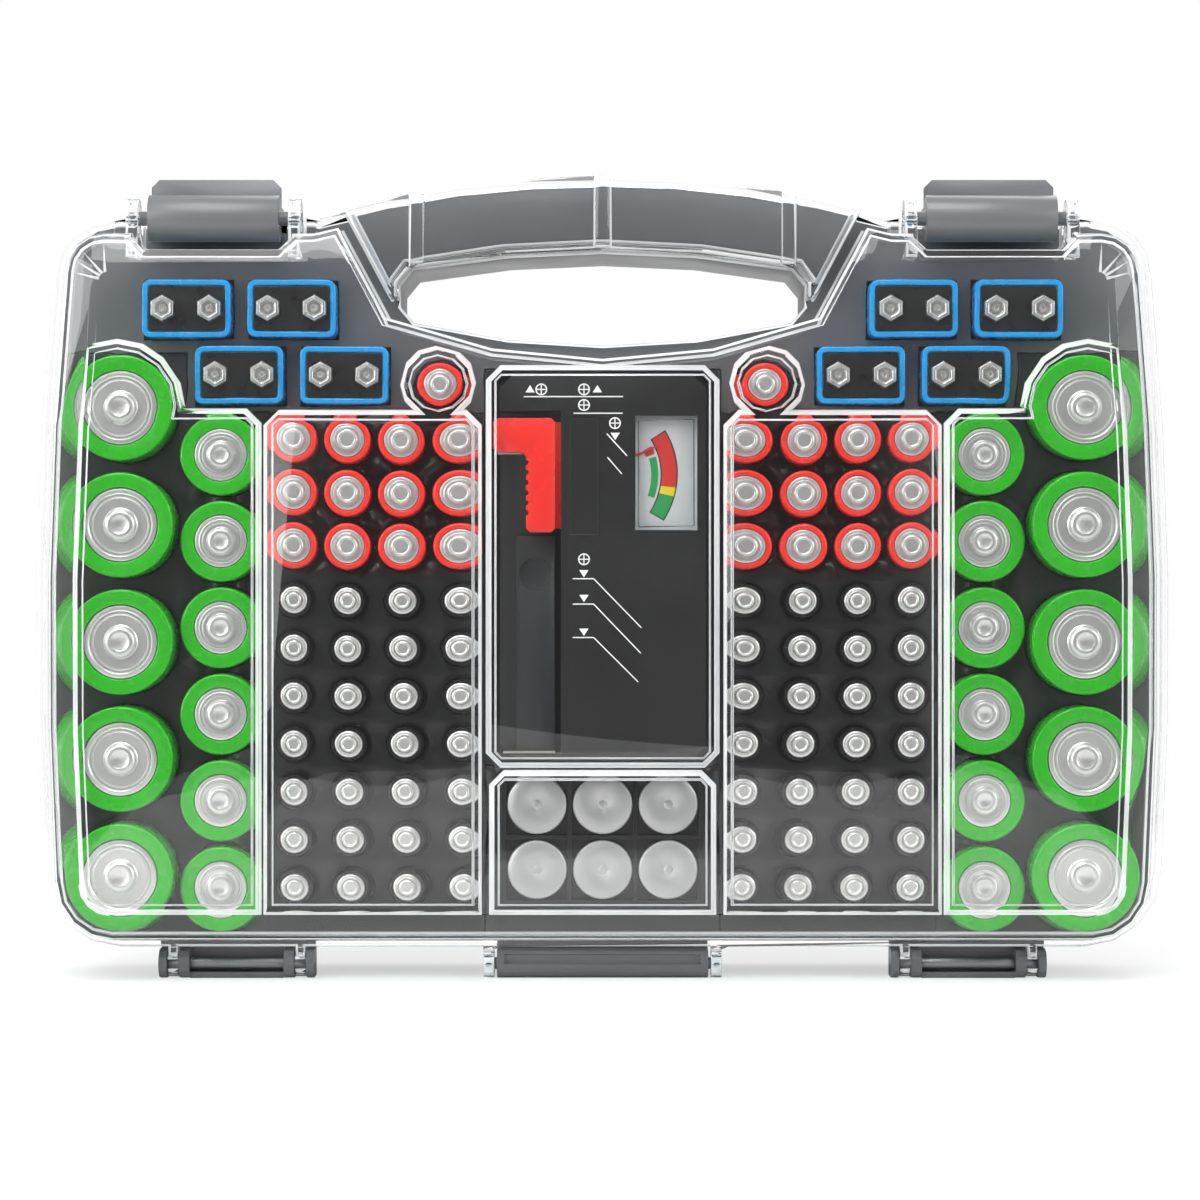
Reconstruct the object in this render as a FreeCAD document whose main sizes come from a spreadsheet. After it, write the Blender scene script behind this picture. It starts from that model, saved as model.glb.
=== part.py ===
"""Battery storage case: a grey tray of cell wells, a clear hinged lid, two latches and a battery tester.

Millimetres. +X is to the right of someone facing the lid, +Y runs from the lid to the back, +Z is up.
The case stands on its hinges and centre foot, and the origin is the middle of its bounding box on the floor.
"""

import FreeCAD, Part
import math
import os

from FreeCAD import Placement, Rotation, Vector

SIZES = [
    # Cells
    ("d_diameter", 32.4, "D cell across its jacket"),
    ("d_length", 61.5, "D cell with its nub"),
    ("c_diameter", 25.0, "C cell across its jacket"),
    ("c_length", 50.0, "C cell with its nub"),
    ("aa_diameter", 14.4, "AA cell"),
    ("aa_length", 50.5, "AA cell"),
    ("aaa_diameter", 10.4, "AAA cell"),
    ("aaa_length", 44.5, "AAA cell"),
    ("nine_width", 27.3, "9 V cell, long side of its end"),
    ("nine_height", 17.5, "9 V cell, short side of its end"),
    ("nine_length", 46.4, "9 V cell without terminals"),
    ("nine_corner", 2.4, "9 V cell corner radius"),
    ("snap_rise", 2.8, "9 V terminal above the cell"),
    ("snap_across", 7.4, "9 V terminal across its corners"),
    ("snap_pitch", 14.4, "between the two terminals of a 9 V cell"),
    ("coin_diameter", 18.6, "button cell"),
    ("coin_thickness", 3.2, "button cell"),
    ("nub_rise", 1.5, "positive nub above a D or C cell"),
    # Wells and decks
    ("well_play", 0.3, "radial play of a cell in its well"),
    ("web", 1.0, "least plastic between wells"),
    ("d_pitch_web", 2.9, "plastic between D wells"),
    ("small_web_side", 1.55, "plastic between AA wells, side by side"),
    ("aa_web", 1.4, "plastic between AA wells, one above the other"),
    ("aaa_web", 3.8, "plastic between AAA wells, one above the other"),
    ("aaa_band", 7.8, "deck below the lowest AAA wells"),
    ("nine_web_side", 4.5, "plastic between 9 V wells, side by side"),
    ("nine_web", 2.1, "plastic between the 9 V rows"),
    ("nine_side", 4.65, "from the spare AA wells to the first 9 V well"),
    ("nine_shift", 16.25, "sideways step from the upper 9 V row to the lower"),
    ("sleeve_wall", 1.5, "wall of a 9 V well"),
    ("well_floor", 1.2, "floor of the deepest well"),
    ("deck_gap", 0.3, "between neighbouring decks"),
    ("c_stand", 14.0, "C cell above its deck"),
    ("aa_stand", 11.5, "AA cell above its deck"),
    ("aaa_stand", 9.5, "AAA cell above its deck"),
    ("nine_stand", 9.0, "9 V cell above its deck"),
    # Case
    ("tray_depth", 47.0, "tray, rim to back"),
    ("tray_wall", 2.4, "tray wall"),
    ("lid_wall", 2.2, "lid wall"),
    ("side_room", 2.9, "from the D wells to the tray wall at mid height"),
    ("head_room", 3.7, "from a D cell to the lid"),
    ("top_band", 20.1, "from the upper 9 V cells to the top of the rim"),
    ("low_taper", 2.1, "sides drawn in at the low corners"),
    ("high_taper", 5.3, "sides drawn in at the high corners"),
    ("low_corner", 24.0, "low corner radius of the rim"),
    ("high_corner", 18.0, "high corner radius of the rim"),
    ("rim_side", 6.3, "rim beyond the tray wall, sides"),
    ("rim_edge", 3.0, "rim beyond the tray wall, top and bottom"),
    ("box_low", 3.6, "rim beyond the lid box, bottom"),
    ("flange", 2.0, "lid flange thickness"),
    ("skirt_wall", 1.8, "lid skirt thickness"),
    ("skirt_depth", 3.0, "lid skirt behind the parting plane"),
    ("rim_gap", 0.3, "between lid flange and tray rim"),
    ("bevel_width", 8.5, "bevel round the lid front"),
    ("bevel_high", 10.0, "bevel at the top of the lid front"),
    ("bevel_depth", 4.5, "bevel round the lid front"),
    ("relief", 2.0, "raised windows on the lid front"),
    ("window_edge", 0.6, "from a raised window to the bevel"),
    ("window_gap", 1.0, "half the groove between raised windows"),
    ("window_corner", 4.0, "corner radius of a raised window"),
    # Handle
    ("arch_half", 88.0, "half width of the arched top"),
    ("arch_rise", 12.0, "arched top above the rim"),
    ("grip_height", 22.7, "grip over the hand hole"),
    ("hole_half", 63.2, "half width of the hand hole"),
    ("hole_height", 28.6, "hand hole"),
    ("hole_lip", 0.6, "lid wall behind the edge of the hand hole"),
    ("bay_clear", 1.4, "from the tester bay up to the lid notch"),
    ("notch_gap", 5.6, "from the hand hole down to the lid box"),
    ("notch_side", 2.8, "from the hand hole sideways to the lid box"),
    ("bar_width", 4.5, "sloping bar between grip and lid box"),
    ("grip_rise", 12.7, "clear grip in front of the parting plane"),
    ("grip_wall", 2.0, "clear grip wall"),
    ("core_play", 1.0, "between tray grip and clear grip"),
    ("rib_width", 4.6, "cross rib of the clear grip"),
    ("rib_rise", 0.8, "cross rib above the clear grip"),
    ("rib_step", 57.3, "between cross ribs"),
    # Hinges and foot
    ("hinge_radius", 4.5, "hinge lugs and foot nose"),
    ("hinge_gap", 0.8, "hinge lugs to the rim"),
    ("hinge_back", 0.5, "hinge axis behind the parting plane"),
    ("hinge_place", 113.6, "hinge from the middle of the case"),
    ("barrel_half", 14.6, "half length between hinge knuckles"),
    ("knuckle", 3.3, "hinge knuckle width"),
    ("hook_bay", 3.7, "bay for a lid hook"),
    ("knob", 2.5, "outer hinge lug width"),
    ("pin_radius", 1.85, "hinge pin"),
    ("pin_play", 0.08, "hook round the pin"),
    ("hook_radius", 3.7, "outside of a lid hook"),
    ("hook_width", 3.1, "lid hook"),
    ("web_thickness", 3.0, "hinge web"),
    ("foot_half", 32.8, "half width of the centre foot"),
    ("ear_gap", 0.8, "foot to lid ear"),
    ("ear_width", 3.4, "lid ear beside the foot"),
    ("foot_groove", 3.0, "groove along the foot nose"),
    # Latches
    ("latch_place", 119.5, "latch from the middle of the case"),
    ("latch_half", 20.0, "half length of a latch"),
    ("latch_radius", 7.2, "latch barrel"),
    ("latch_gap", 0.6, "latch barrel to the flange"),
    ("latch_drop", 0.8, "latch pivot below the top of the rim"),
    ("stub_radius", 2.2, "latch pivot stub"),
    ("stub_play", 0.1, "latch pivot stub in its ear"),
    ("stub_bay", 3.0, "from a latch to its ear"),
    ("latch_ear", 3.8, "ear that holds a latch"),
    ("latch_ear_radius", 5.8, "round top of an ear"),
    ("arm_thickness", 2.4, "latch arm"),
    ("arm_clear", 0.9, "latch arm above the rim"),
    ("catch_gap", 0.3, "latch lip behind the catch"),
    ("lip_thickness", 1.8, "latch lip"),
    ("lip_reach", 2.6, "latch lip below the top of the catch"),
    ("catch_thickness", 2.0, "catch on the tray"),
    ("catch_rise", 3.5, "catch above the tray wall"),
    ("tab_rise", 12.5, "finger tab above the latch pivot"),
    ("tab_thickness", 2.5, "finger tab"),
    ("tab_corner", 2.4, "finger tab corner radius"),
    ("pocket_play", 4.6, "pocket beyond the end of a latch"),
    ("pocket_drop", 3.5, "pocket below the latch barrel"),
    ("pocket_corner", 4.0, "pocket corner radius"),
    # Tester bay and button cell tray
    ("bay_gap", 3.2, "tester to the side wall of its bay"),
    ("bay_end", 1.3, "tester to the end walls of its bay"),
    ("bay_wall", 1.6, "bay and button cell tray walls"),
    ("bay_floor", 2.0, "bay and button cell tray floors"),
    ("coin_play", 0.2, "button cell in its well"),
    ("coin_rib", 1.4, "rib between button cell wells"),
    ("coin_band", 8.7, "button cell tray below its wells"),
    ("coin_edge", 2.6, "button cell tray above its wells"),
    ("coin_proud", 0.6, "button cells above their tray"),
    # Tester
    ("tester_half", 31.5, "half width of the tester"),
    ("tester_height", 117.0, "tester"),
    ("tester_depth", 25.0, "tester, front to back"),
    ("tester_front_gap", 3.3, "tester to the lid front wall"),
    ("tester_wall", 2.0, "tester shell wall"),
    ("tester_corner", 4.0, "tester corner radius"),
    ("cover_depth", 4.0, "tester back cover"),
    ("channel_width", 18.8, "arm channel of the tester"),
    ("channel_head", 11.0, "tester head above the channel"),
    ("channel_foot", 1.5, "tester below the channel"),
    ("channel_depth", 9.0, "arm channel"),
    ("groove_depth", 1.8, "guide groove in the channel wall"),
    ("groove_width", 2.8, "guide groove in the channel wall"),
    ("arm_gap", 1.8, "arm to the channel wall"),
    ("arm_width", 8.9, "stem of the arm"),
    ("arm_reach", 18.7, "foot of the arm, side to side"),
    ("arm_foot", 10.4, "foot of the arm, up and down"),
    ("arm_length", 34.9, "arm, up and down"),
    ("arm_depth", 5.6, "arm, front to back"),
    ("arm_sink", 0.4, "arm behind the tester front"),
    ("arm_head", 2.1, "arm below the channel top"),
    ("arm_corner", 1.2, "corner radius of the arm"),
    ("arm_tongue", 1.5, "arm tongue in the guide groove"),
    ("notch_pitch", 3.1, "finger notches of the arm"),
    ("notch_radius", 0.9, "finger notches of the arm"),
    ("rail_width", 11.9, "slide rail"),
    ("rail_depth", 2.5, "slide rail"),
    ("rail_length", 66.5, "slide rail"),
    ("rail_bore", 5.2, "round recess of the slide rail, radius"),
    ("rail_bore_depth", 1.5, "round recess of the slide rail"),
    ("slot_gap", 2.4, "channel wall to the centre slot"),
    ("slot_width", 9.2, "centre slot"),
    ("slot_depth", 0.8, "centre slot"),
    ("contact", 0.6, "sheet metal of the contacts"),
    ("meter_side", 2.6, "meter window to the tester side"),
    ("meter_width", 19.0, "meter window"),
    ("meter_height", 34.9, "meter window"),
    ("meter_head", 12.5, "meter window below the tester top"),
    ("meter_rise", 1.0, "meter window above the tester front"),
    ("meter_wall", 1.2, "meter window wall"),
    ("meter_lip", 1.2, "meter window lip behind the tester front"),
    ("needle_gap", 0.3, "needle behind the window lip and in front of the dial"),
    ("dial_gap", 4.4, "dial behind the tester front"),
    ("dial_thickness", 0.6, "dial"),
    ("needle_reach", 22.0, "needle from pivot to tip"),
    ("needle_tail", 3.6, "needle tail with its counterweight"),
    ("needle_thickness", 0.5, "needle"),
    ("needle_width", 1.2, "needle at the hub"),
    ("hub_radius", 1.3, "needle hub"),
    ("shaft_radius", 0.6, "needle shaft"),
    ("shaft_play", 0.06, "needle shaft in its bearing"),
    ("shaft_length", 2.0, "needle shaft in its bearing"),
    ("pivot_in", 12.9, "needle pivot left of the window edge"),
    ("movement_width", 12.0, "moving coil block"),
    ("movement_height", 17.0, "moving coil block"),
    ("movement_depth", 9.0, "moving coil block"),
    ("resistor_radius", 2.2, "load resistor"),
    ("resistor_length", 12.0, "load resistor"),
    ("screw_radius", 1.1, "cover screw"),
    ("screw_head", 2.2, "cover screw head radius"),
    ("screw_length", 8.0, "cover screw"),
    ("post_radius", 2.6, "screw post"),
    ("post_play", 0.2, "screw post in the back cover"),
    # Shared
    ("overrun", 5.0, "how far a cut runs past what it cuts"),
]

# Shares that shape the hand hole and the slope beside it.
HOLE_SHOULDER_SHARE = 0.925
HOLE_HIGH_SHARE = 0.82
HOLE_LOW_SHARE = 0.245
HOLE_MID_SHARE = 0.5
NOTCH_LEAN_SHARE = 0.532
NEEDLE_REST_DEGREES = 23.4
SPARE_SHIFT_SHARE = 0.66
NUB_SHARE = 0.31
LIP_SHARE = 0.7
PIN_SEAT_SHARE = 0.7
GROOVE_SHARE = 0.6
MOUTH_SHARE = 0.8
POST_SHARE = 0.7
SADDLE_SHARE = 1.5
HEAD_SHARE = 0.25
CROWN_SHARE = 0.4
SAME_SPOT = 1e-7
BEND_CUTS = 4
SIDE_CUTS = 4
ARCH_CUTS = 8
END_CUTS = 3
ROUND_SIDES = 12
LARGE_SIDES = 16
SMALL_SIDES = 8
HEX_SIDES = 6
COUNTS = {"d": 5, "c": 6, "aa": 3, "aaa": 7, "columns": 4, "coin_columns": 3, "coin_rows": 2, "notches": 6}

doc = FreeCAD.newDocument("battery_case")
sheet = doc.addObject("Spreadsheet::Sheet", "sizes")
for row, (alias, value, meaning) in enumerate(SIZES, start=1):
    sheet.set(f"A{row}", meaning)
    sheet.set(f"B{row}", str(value))
    sheet.setAlias(f"B{row}", alias)
doc.recompute()


def size(alias):
    """A driving dimension, read from the sheet."""
    return float(sheet.get(alias))


NODES = {}


def keep(item, node):
    """Files an object under the name of its node."""
    item.Label = node
    NODES[node] = item
    return item


class Outline:
    """A closed run of lines and arcs, seen from the front as x to the right and z up."""

    def __init__(self, x, z):
        self.first = Vector(x, z, 0)
        self.here = self.first
        self.curves = []

    def line(self, x, z):
        there = Vector(x, z, 0)
        self.curves.append(Part.LineSegment(self.here, there))
        self.here = there
        return self

    def arc(self, through_x, through_z, x, z, cuts=BEND_CUTS):
        """Bends through a point in this many straight cuts of equal length."""
        arc = Part.Arc(self.here, Vector(through_x, through_z, 0), Vector(x, z, 0))
        span = arc.LastParameter - arc.FirstParameter
        spots = [arc.value(arc.FirstParameter + span * step / cuts) for step in range(1, cuts)]
        if spots and spots[0].distanceToPoint(self.here) > spots[-1].distanceToPoint(self.here):
            spots.reverse()
        for spot in spots:
            self.line(spot.x, spot.y)
        return self.line(x, z)

    def closed(self):
        """The lines of the outline, with one back to its first corner."""
        if not self.here.isEqual(self.first, SAME_SPOT):
            self.line(self.first.x, self.first.y)
        return self.curves

    def sketch(self, name, y):
        """The outline as a closed sketch that stands upright at this depth."""
        item = doc.addObject("Sketcher::SketchObject", name)
        item.Placement = Placement(Vector(0, y, 0), Rotation(Vector(1, 0, 0), 90))
        item.addGeometry(self.closed(), False)
        return item


def rounded(corners, radius, cuts=1):
    """An outline through the corners (x, z), each corner eased by cuts along an arc."""
    count = len(corners)
    turns = []
    for index, corner in enumerate(corners):
        here = Vector(corner[0], 0, corner[1])
        before = Vector(corners[index - 1][0], 0, corners[index - 1][1])
        after = Vector(corners[(index + 1) % count][0], 0, corners[(index + 1) % count][1])
        back = (before - here).normalize()
        ahead = (after - here).normalize()
        half = back.getAngle(ahead) / 2
        reach = radius / math.tan(half)
        middle = (back + ahead).normalize()
        start = here + back * reach
        end = here + ahead * reach
        top = here + middle * (radius / math.sin(half) - radius)
        turns.append((start, top, end))
    outline = Outline(turns[0][2].x, turns[0][2].z)
    for start, top, end in turns[1:] + turns[:1]:
        outline.line(start.x, start.z)
        outline.arc(top.x, top.z, end.x, end.z, cuts)
    return outline


def rectangle(low_x, low_z, high_x, high_z, radius=0.0, cuts=1):
    """A rectangle, with eased corners if a radius is given."""
    corners = [(low_x, low_z), (high_x, low_z), (high_x, high_z), (low_x, high_z)]
    if radius:
        return rounded(corners, radius, cuts)
    outline = Outline(low_x, low_z)
    for corner in corners[1:]:
        outline.line(*corner)
    return outline


def prism(name, outline, front, depth):
    """Extrudes an outline from the plane Y = front towards the back. depth is a value or an expression."""
    item = doc.addObject("Part::Extrusion", name)
    item.Base = outline.sketch(name + "_profile", front)
    item.DirMode = "Custom"
    item.Dir = Vector(0, 1, 0)
    item.Solid = True
    if isinstance(depth, str):
        item.setExpression("LengthFwd", depth)
    else:
        item.LengthFwd = depth
    return item


def tapered(name, near, near_y, far, far_y):
    """A solid with flat flanks between two outlines that have the same number of corners."""
    rings = []
    for outline, y in ((near, near_y), (far, far_y)):
        rings.append([Vector(line.StartPoint.x, y, line.StartPoint.y) for line in outline.closed()])
    faces = [Part.Face(Part.makePolygon(ring + ring[:1])) for ring in rings]
    for index in range(len(rings[0])):
        here, ahead = rings[0][index - 1], rings[0][index]
        far_here, far_ahead = rings[1][index - 1], rings[1][index]
        faces.append(Part.Face(Part.makePolygon([here, ahead, far_ahead, here])))
        faces.append(Part.Face(Part.makePolygon([here, far_ahead, far_here, here])))
    item = doc.addObject("Part::Feature", name)
    item.Shape = Part.Solid(Part.Shell(faces))
    return item


def block(name, low, high):
    """A box between two corners."""
    item = doc.addObject("Part::Box", name)
    item.Length, item.Width, item.Height = (high[k] - low[k] for k in range(3))
    item.Placement = Placement(Vector(*low), Rotation())
    return item


AXES = {
    "X": Rotation(Vector(0, 0, 1), Vector(1, 0, 0)),
    "Y": Rotation(Vector(0, 0, 1), Vector(0, 1, 0)),
    "Z": Rotation(),
}


def rod(name, start, length, radius, axis):
    """A cylinder from start along X, Y or Z. length and radius are values or expressions."""
    item = doc.addObject("Part::Cylinder", name)
    item.Placement = Placement(Vector(*start), AXES[axis])
    for key, amount in (("Height", length), ("Radius", radius)):
        if isinstance(amount, str):
            item.setExpression(key, amount)
        else:
            setattr(item, key, amount)
    return item


def bar(name, start, length, radius, axis, sides=ROUND_SIDES):
    """A many-sided bar from start along X or Y, its corners on the radius."""
    item = doc.addObject("Part::Prism", name)
    item.Polygon = sides
    item.Placement = Placement(Vector(*start), AXES[axis])
    for key, amount in (("Height", length), ("Circumradius", radius)):
        if isinstance(amount, str):
            item.setExpression(key, amount)
        else:
            setattr(item, key, amount)
    return item


def clear_radius(radius, sides=ROUND_SIDES):
    """The corner radius of a many-sided hole whose flats clear this radius."""
    return radius / math.cos(math.pi / sides)


def joined(name, items):
    """One solid from overlapping ones."""
    item = doc.addObject("Part::MultiFuse", name)
    item.Shapes = items
    item.Refine = True
    return item


def shared(name, items):
    """What all the solids have in common."""
    item = doc.addObject("Part::MultiCommon", name)
    item.Shapes = items
    return item


def without(name, base, tools):
    """A solid less one tool, or less all of a list of tools."""
    item = doc.addObject("Part::Cut", name)
    item.Base = base
    if isinstance(tools, list):
        group = doc.addObject("Part::Compound", name + "_tools")
        group.Links = tools
        tools = group
    item.Tool = tools
    item.Refine = True
    return item


def copies(name, base, places):
    """Separate solids, one at each place, all alike."""
    item = doc.addObject("Part::Feature", name)
    doc.recompute()
    item.Shape = Part.makeCompound([base.Shape.translated(Vector(*place)) for place in places])
    return item


def side_name(side):
    return "left" if side < 0 else "right"


# Depths, from the back of the case forward
CASE_DEPTH = size("tray_wall") + size("well_floor") + size("d_length") + size("head_room")
CASE_DEPTH += size("relief") + size("lid_wall")
BACK = CASE_DEPTH / 2
FRONT = -BACK
INNER_BACK = BACK - size("tray_wall")
WELL_BACK = INNER_BACK - size("well_floor")
RIM = BACK - size("tray_depth")
DECK = RIM + size("rim_gap")
FLANGE_FRONT = RIM - size("flange")
PANEL = FRONT + size("relief")
PANEL_INSIDE = PANEL + size("lid_wall")
BEVEL_START = PANEL + size("bevel_depth")
THROUGH = CASE_DEPTH + 2 * size("overrun")

# Well sizes and places across the case, from the middle outwards
D_WELL = size("d_diameter") / 2 + size("well_play")
C_WELL = size("c_diameter") / 2 + size("well_play")
AA_WELL = size("aa_diameter") / 2 + size("well_play")
AAA_WELL = size("aaa_diameter") / 2 + size("well_play")
BAY_HALF = size("tester_half") + size("bay_gap")
BAY_OUTER = BAY_HALF + size("bay_wall")
SMALL_INNER = BAY_OUTER + size("deck_gap")
COLUMN_PITCH = 2 * AA_WELL + size("small_web_side")
FIRST_COLUMN = SMALL_INNER + size("web") + AA_WELL
COLUMNS = [FIRST_COLUMN + index * COLUMN_PITCH for index in range(COUNTS["columns"])]
SMALL_OUTER = COLUMNS[-1] + AA_WELL + size("web")
LARGE_INNER = SMALL_OUTER + size("deck_gap")
C_X = LARGE_INNER + size("web") + C_WELL
D_X = C_X + C_WELL + size("web") + D_WELL
D_INNER = D_X - D_WELL - 2 * size("web")
SPARE_X = FIRST_COLUMN + AA_WELL * SPARE_SHIFT_SHARE
NINE_REACH = size("nine_width") / 2 + size("well_play") + size("sleeve_wall")
NINE_PITCH = size("nine_width") + 2 * size("well_play") + size("nine_web_side")
NINE_FIRST = SPARE_X + AA_WELL + 2 * size("web") + size("nine_side") + NINE_REACH
HALF_WIDTH = D_X + D_WELL + size("side_room") + size("tray_wall") + size("rim_side")

# Heights, from the floor up
HINGE_Z = size("hinge_radius")
HINGE_Y = RIM + size("hinge_back")
BASE = 2 * size("hinge_radius") + size("hinge_gap")
TRAY_LOW = BASE + size("rim_edge") + size("tray_wall")
D_PITCH = 2 * D_WELL + size("d_pitch_web")
C_PITCH = 2 * C_WELL + size("web")
AA_PITCH = 2 * AA_WELL + size("aa_web")
AAA_PITCH = 2 * AAA_WELL + size("aaa_web")
D_ROWS = [TRAY_LOW + size("web") + D_WELL + row * D_PITCH for row in range(COUNTS["d"])]
C_ROWS = [TRAY_LOW + size("web") + C_WELL + row * C_PITCH for row in range(COUNTS["c"])]
AAA_ROWS = [TRAY_LOW + size("aaa_band") + AAA_WELL + row * AAA_PITCH for row in range(COUNTS["aaa"])]
AA_FIRST = AAA_ROWS[-1] + AAA_WELL + size("aaa_web") + AA_WELL
AA_ROWS = [AA_FIRST + row * AA_PITCH for row in range(COUNTS["aa"])]
SPARE_Z = AA_ROWS[-1] + AA_PITCH
D_TOP = D_ROWS[-1] + D_WELL + size("web")
C_TOP = C_ROWS[-1] + C_WELL + size("web")
SMALL_TOP = AA_ROWS[-1] + AA_WELL + size("web")
NINE_RISE = size("nine_height") / 2 + size("well_play") + size("sleeve_wall")
NINE_LOW = max(C_TOP, SMALL_TOP) + size("deck_gap") + NINE_RISE
NINE_HIGH = NINE_LOW + size("nine_height") + 2 * size("well_play") + size("nine_web")
COIN_WELL = size("coin_diameter") + 2 * size("coin_play")
COIN_PITCH = COIN_WELL + size("coin_rib")
COIN_FIRST = TRAY_LOW + size("coin_band") + COIN_WELL / 2
COIN_ROWS = [COIN_FIRST + row * COIN_PITCH for row in range(COUNTS["coin_rows"])]
COIN_MIDDLE = (COUNTS["coin_columns"] - 1) / 2
COIN_COLUMNS = [(index - COIN_MIDDLE) * COIN_PITCH for index in range(COUNTS["coin_columns"])]
COIN_TOP = COIN_ROWS[-1] + COIN_WELL / 2 + size("coin_edge")
BAY_LOW = COIN_TOP + size("deck_gap")
TESTER_LOW = BAY_LOW + size("bay_wall") + size("bay_end")
TESTER_TOP = TESTER_LOW + size("tester_height")
BAY_TOP = TESTER_TOP + size("bay_end") + size("bay_wall")
HANDLE_HEIGHT = size("notch_gap") + size("hole_height") + size("grip_height") - size("arch_rise")
SHOULDER = max(
    NINE_HIGH + size("nine_height") / 2 + size("top_band"),
    BAY_TOP + size("bay_clear") + HANDLE_HEIGHT,
)
ARCH = SHOULDER + size("arch_rise")
HOLE_TOP = ARCH - size("grip_height")
HOLE_BOTTOM = HOLE_TOP - size("hole_height")
HOLE_MID = HOLE_BOTTOM + size("hole_height") * HOLE_MID_SHARE
NOTCH_FOOT_X = size("hole_half") + size("notch_side")
NOTCH_FOOT_Z = HOLE_BOTTOM + size("hole_height") * HOLE_LOW_SHARE
NOTCH_BOTTOM = HOLE_BOTTOM - size("notch_gap")
PIVOT_Z = SHOULDER - size("latch_drop")
PIVOT_Y = FLANGE_FRONT - size("latch_gap") - size("latch_radius")
TESTER_FRONT = PANEL_INSIDE + size("tester_front_gap")
TESTER_BACK = TESTER_FRONT + size("tester_depth")


def case_outline(side, low, high):
    """The case from the front, drawn in by these amounts at its sides, bottom and top."""
    middle = HALF_WIDTH - side
    low_half = middle - size("low_taper")
    high_half = middle - size("high_taper")
    bottom = BASE + low
    top = SHOULDER - high
    low_turn = max(size("low_corner") - side, size("tray_wall"))
    high_turn = max(size("high_corner") - side, size("tray_wall"))
    slack = math.sqrt(0.5)
    low_mid = (low_half - low_turn + low_turn * slack, bottom + low_turn - low_turn * slack)
    high_mid = (high_half - high_turn + high_turn * slack, top - high_turn + high_turn * slack)
    centre = (bottom + top) / 2
    outline = Outline(-low_half, bottom + low_turn)
    outline.arc(-middle, centre, -high_half, top - high_turn, SIDE_CUTS)
    outline.arc(-high_mid[0], high_mid[1], -(high_half - high_turn), top)
    outline.line(-size("arch_half"), top)
    outline.arc(0, ARCH - high, size("arch_half"), top, ARCH_CUTS)
    outline.line(high_half - high_turn, top)
    outline.arc(high_mid[0], high_mid[1], high_half, top - high_turn)
    outline.arc(middle, centre, low_half, bottom + low_turn, SIDE_CUTS)
    outline.arc(low_mid[0], low_mid[1], low_half - low_turn, bottom)
    outline.line(-(low_half - low_turn), bottom)
    outline.arc(-low_mid[0], low_mid[1], -low_half, bottom + low_turn)
    return outline


def hole_outline(out):
    """The hand hole, widened by this amount all round."""
    half = size("hole_half") + out
    low = HOLE_BOTTOM - out
    height = size("hole_height") + 2 * out
    shoulder = half * HOLE_SHOULDER_SHARE
    high_z = low + height * HOLE_HIGH_SHARE
    low_z = low + height * HOLE_LOW_SHARE
    mid_z = low + height * HOLE_MID_SHARE
    outline = Outline(-shoulder, low_z)
    outline.arc(-half, mid_z, -shoulder, high_z, END_CUTS)
    outline.arc(0, low + height, shoulder, high_z)
    outline.arc(half, mid_z, shoulder, low_z, END_CUTS)
    outline.arc(0, low, -shoulder, low_z)
    return outline


def slope_x(z, inwards):
    """Where the sloping bar beside the grip stands at height z, moved inwards by this amount."""
    return NOTCH_FOOT_X - inwards + (z - NOTCH_FOOT_Z) * NOTCH_LEAN_SHARE


def notch_outline(out):
    """What the handle takes out of the lid box, widened by this amount."""
    far = ARCH + size("overrun")
    foot_z = NOTCH_FOOT_Z - out
    outline = Outline(-slope_x(far, -out), far)
    outline.line(-slope_x(foot_z, -out), foot_z)
    outline.arc(0, NOTCH_BOTTOM - out, slope_x(foot_z, -out), foot_z)
    outline.line(slope_x(far, -out), far)
    return outline


def grip_solid(name, skin, front, back):
    """The grip between hand hole and arched top, drawn in by a skin, between two depths."""
    floor = HOLE_MID + skin
    far = ARCH + size("overrun")
    inwards = size("bar_width") + skin
    band = Outline(-slope_x(floor, inwards), floor)
    band.line(slope_x(floor, inwards), floor)
    band.line(slope_x(far, inwards), far)
    band.line(-slope_x(far, inwards), far)
    depth = back - front
    body = shared(
        name + "_body",
        [
            prism(name + "_case", case_outline(skin, skin, skin), front, depth),
            prism(name + "_band", band, front, depth),
        ],
    )
    ring = hole_outline(size("hole_lip") + skin)
    hole = prism(name + "_hole", ring, front - size("overrun"), depth + THROUGH)
    return without(name, body, hole)


def large_deck_corners(side):
    """The D and C cell deck from the front."""
    far = HALF_WIDTH + size("overrun")
    low = BASE - size("overrun")
    return [
        (side * LARGE_INNER, low),
        (side * far, low),
        (side * far, D_TOP),
        (side * D_INNER, D_TOP),
        (side * D_INNER, C_TOP),
        (side * LARGE_INNER, C_TOP),
    ]


def corner_outline(corners):
    outline = Outline(*corners[0])
    for corner in corners[1:]:
        outline.line(*corner)
    return outline


def interior(name, gap, front, back):
    """What the tray walls enclose, less a gap."""
    side = size("rim_side") + size("tray_wall") + gap
    edge = size("rim_edge") + size("tray_wall") + gap
    return prism(name, case_outline(side, edge, edge), front, back - front)


def wells(name, places, radius, depth, sides):
    """Blind wells in a deck, whose flats clear the cells."""
    reach = depth - DECK + size("overrun")
    return [
        bar(f"{name}_{index}", (x, DECK - size("overrun"), z), reach, clear_radius(radius, sides), "Y", sides)
        for index, (x, z) in enumerate(places)
    ]


def d_places(side):
    return [(side * D_X, z) for z in D_ROWS]


def c_places(side):
    return [(side * C_X, z) for z in C_ROWS]


def aa_places(side):
    return [(side * x, z) for z in AA_ROWS for x in COLUMNS] + [(side * SPARE_X, SPARE_Z)]


def aaa_places(side):
    return [(side * x, z) for z in AAA_ROWS for x in COLUMNS]


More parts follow.
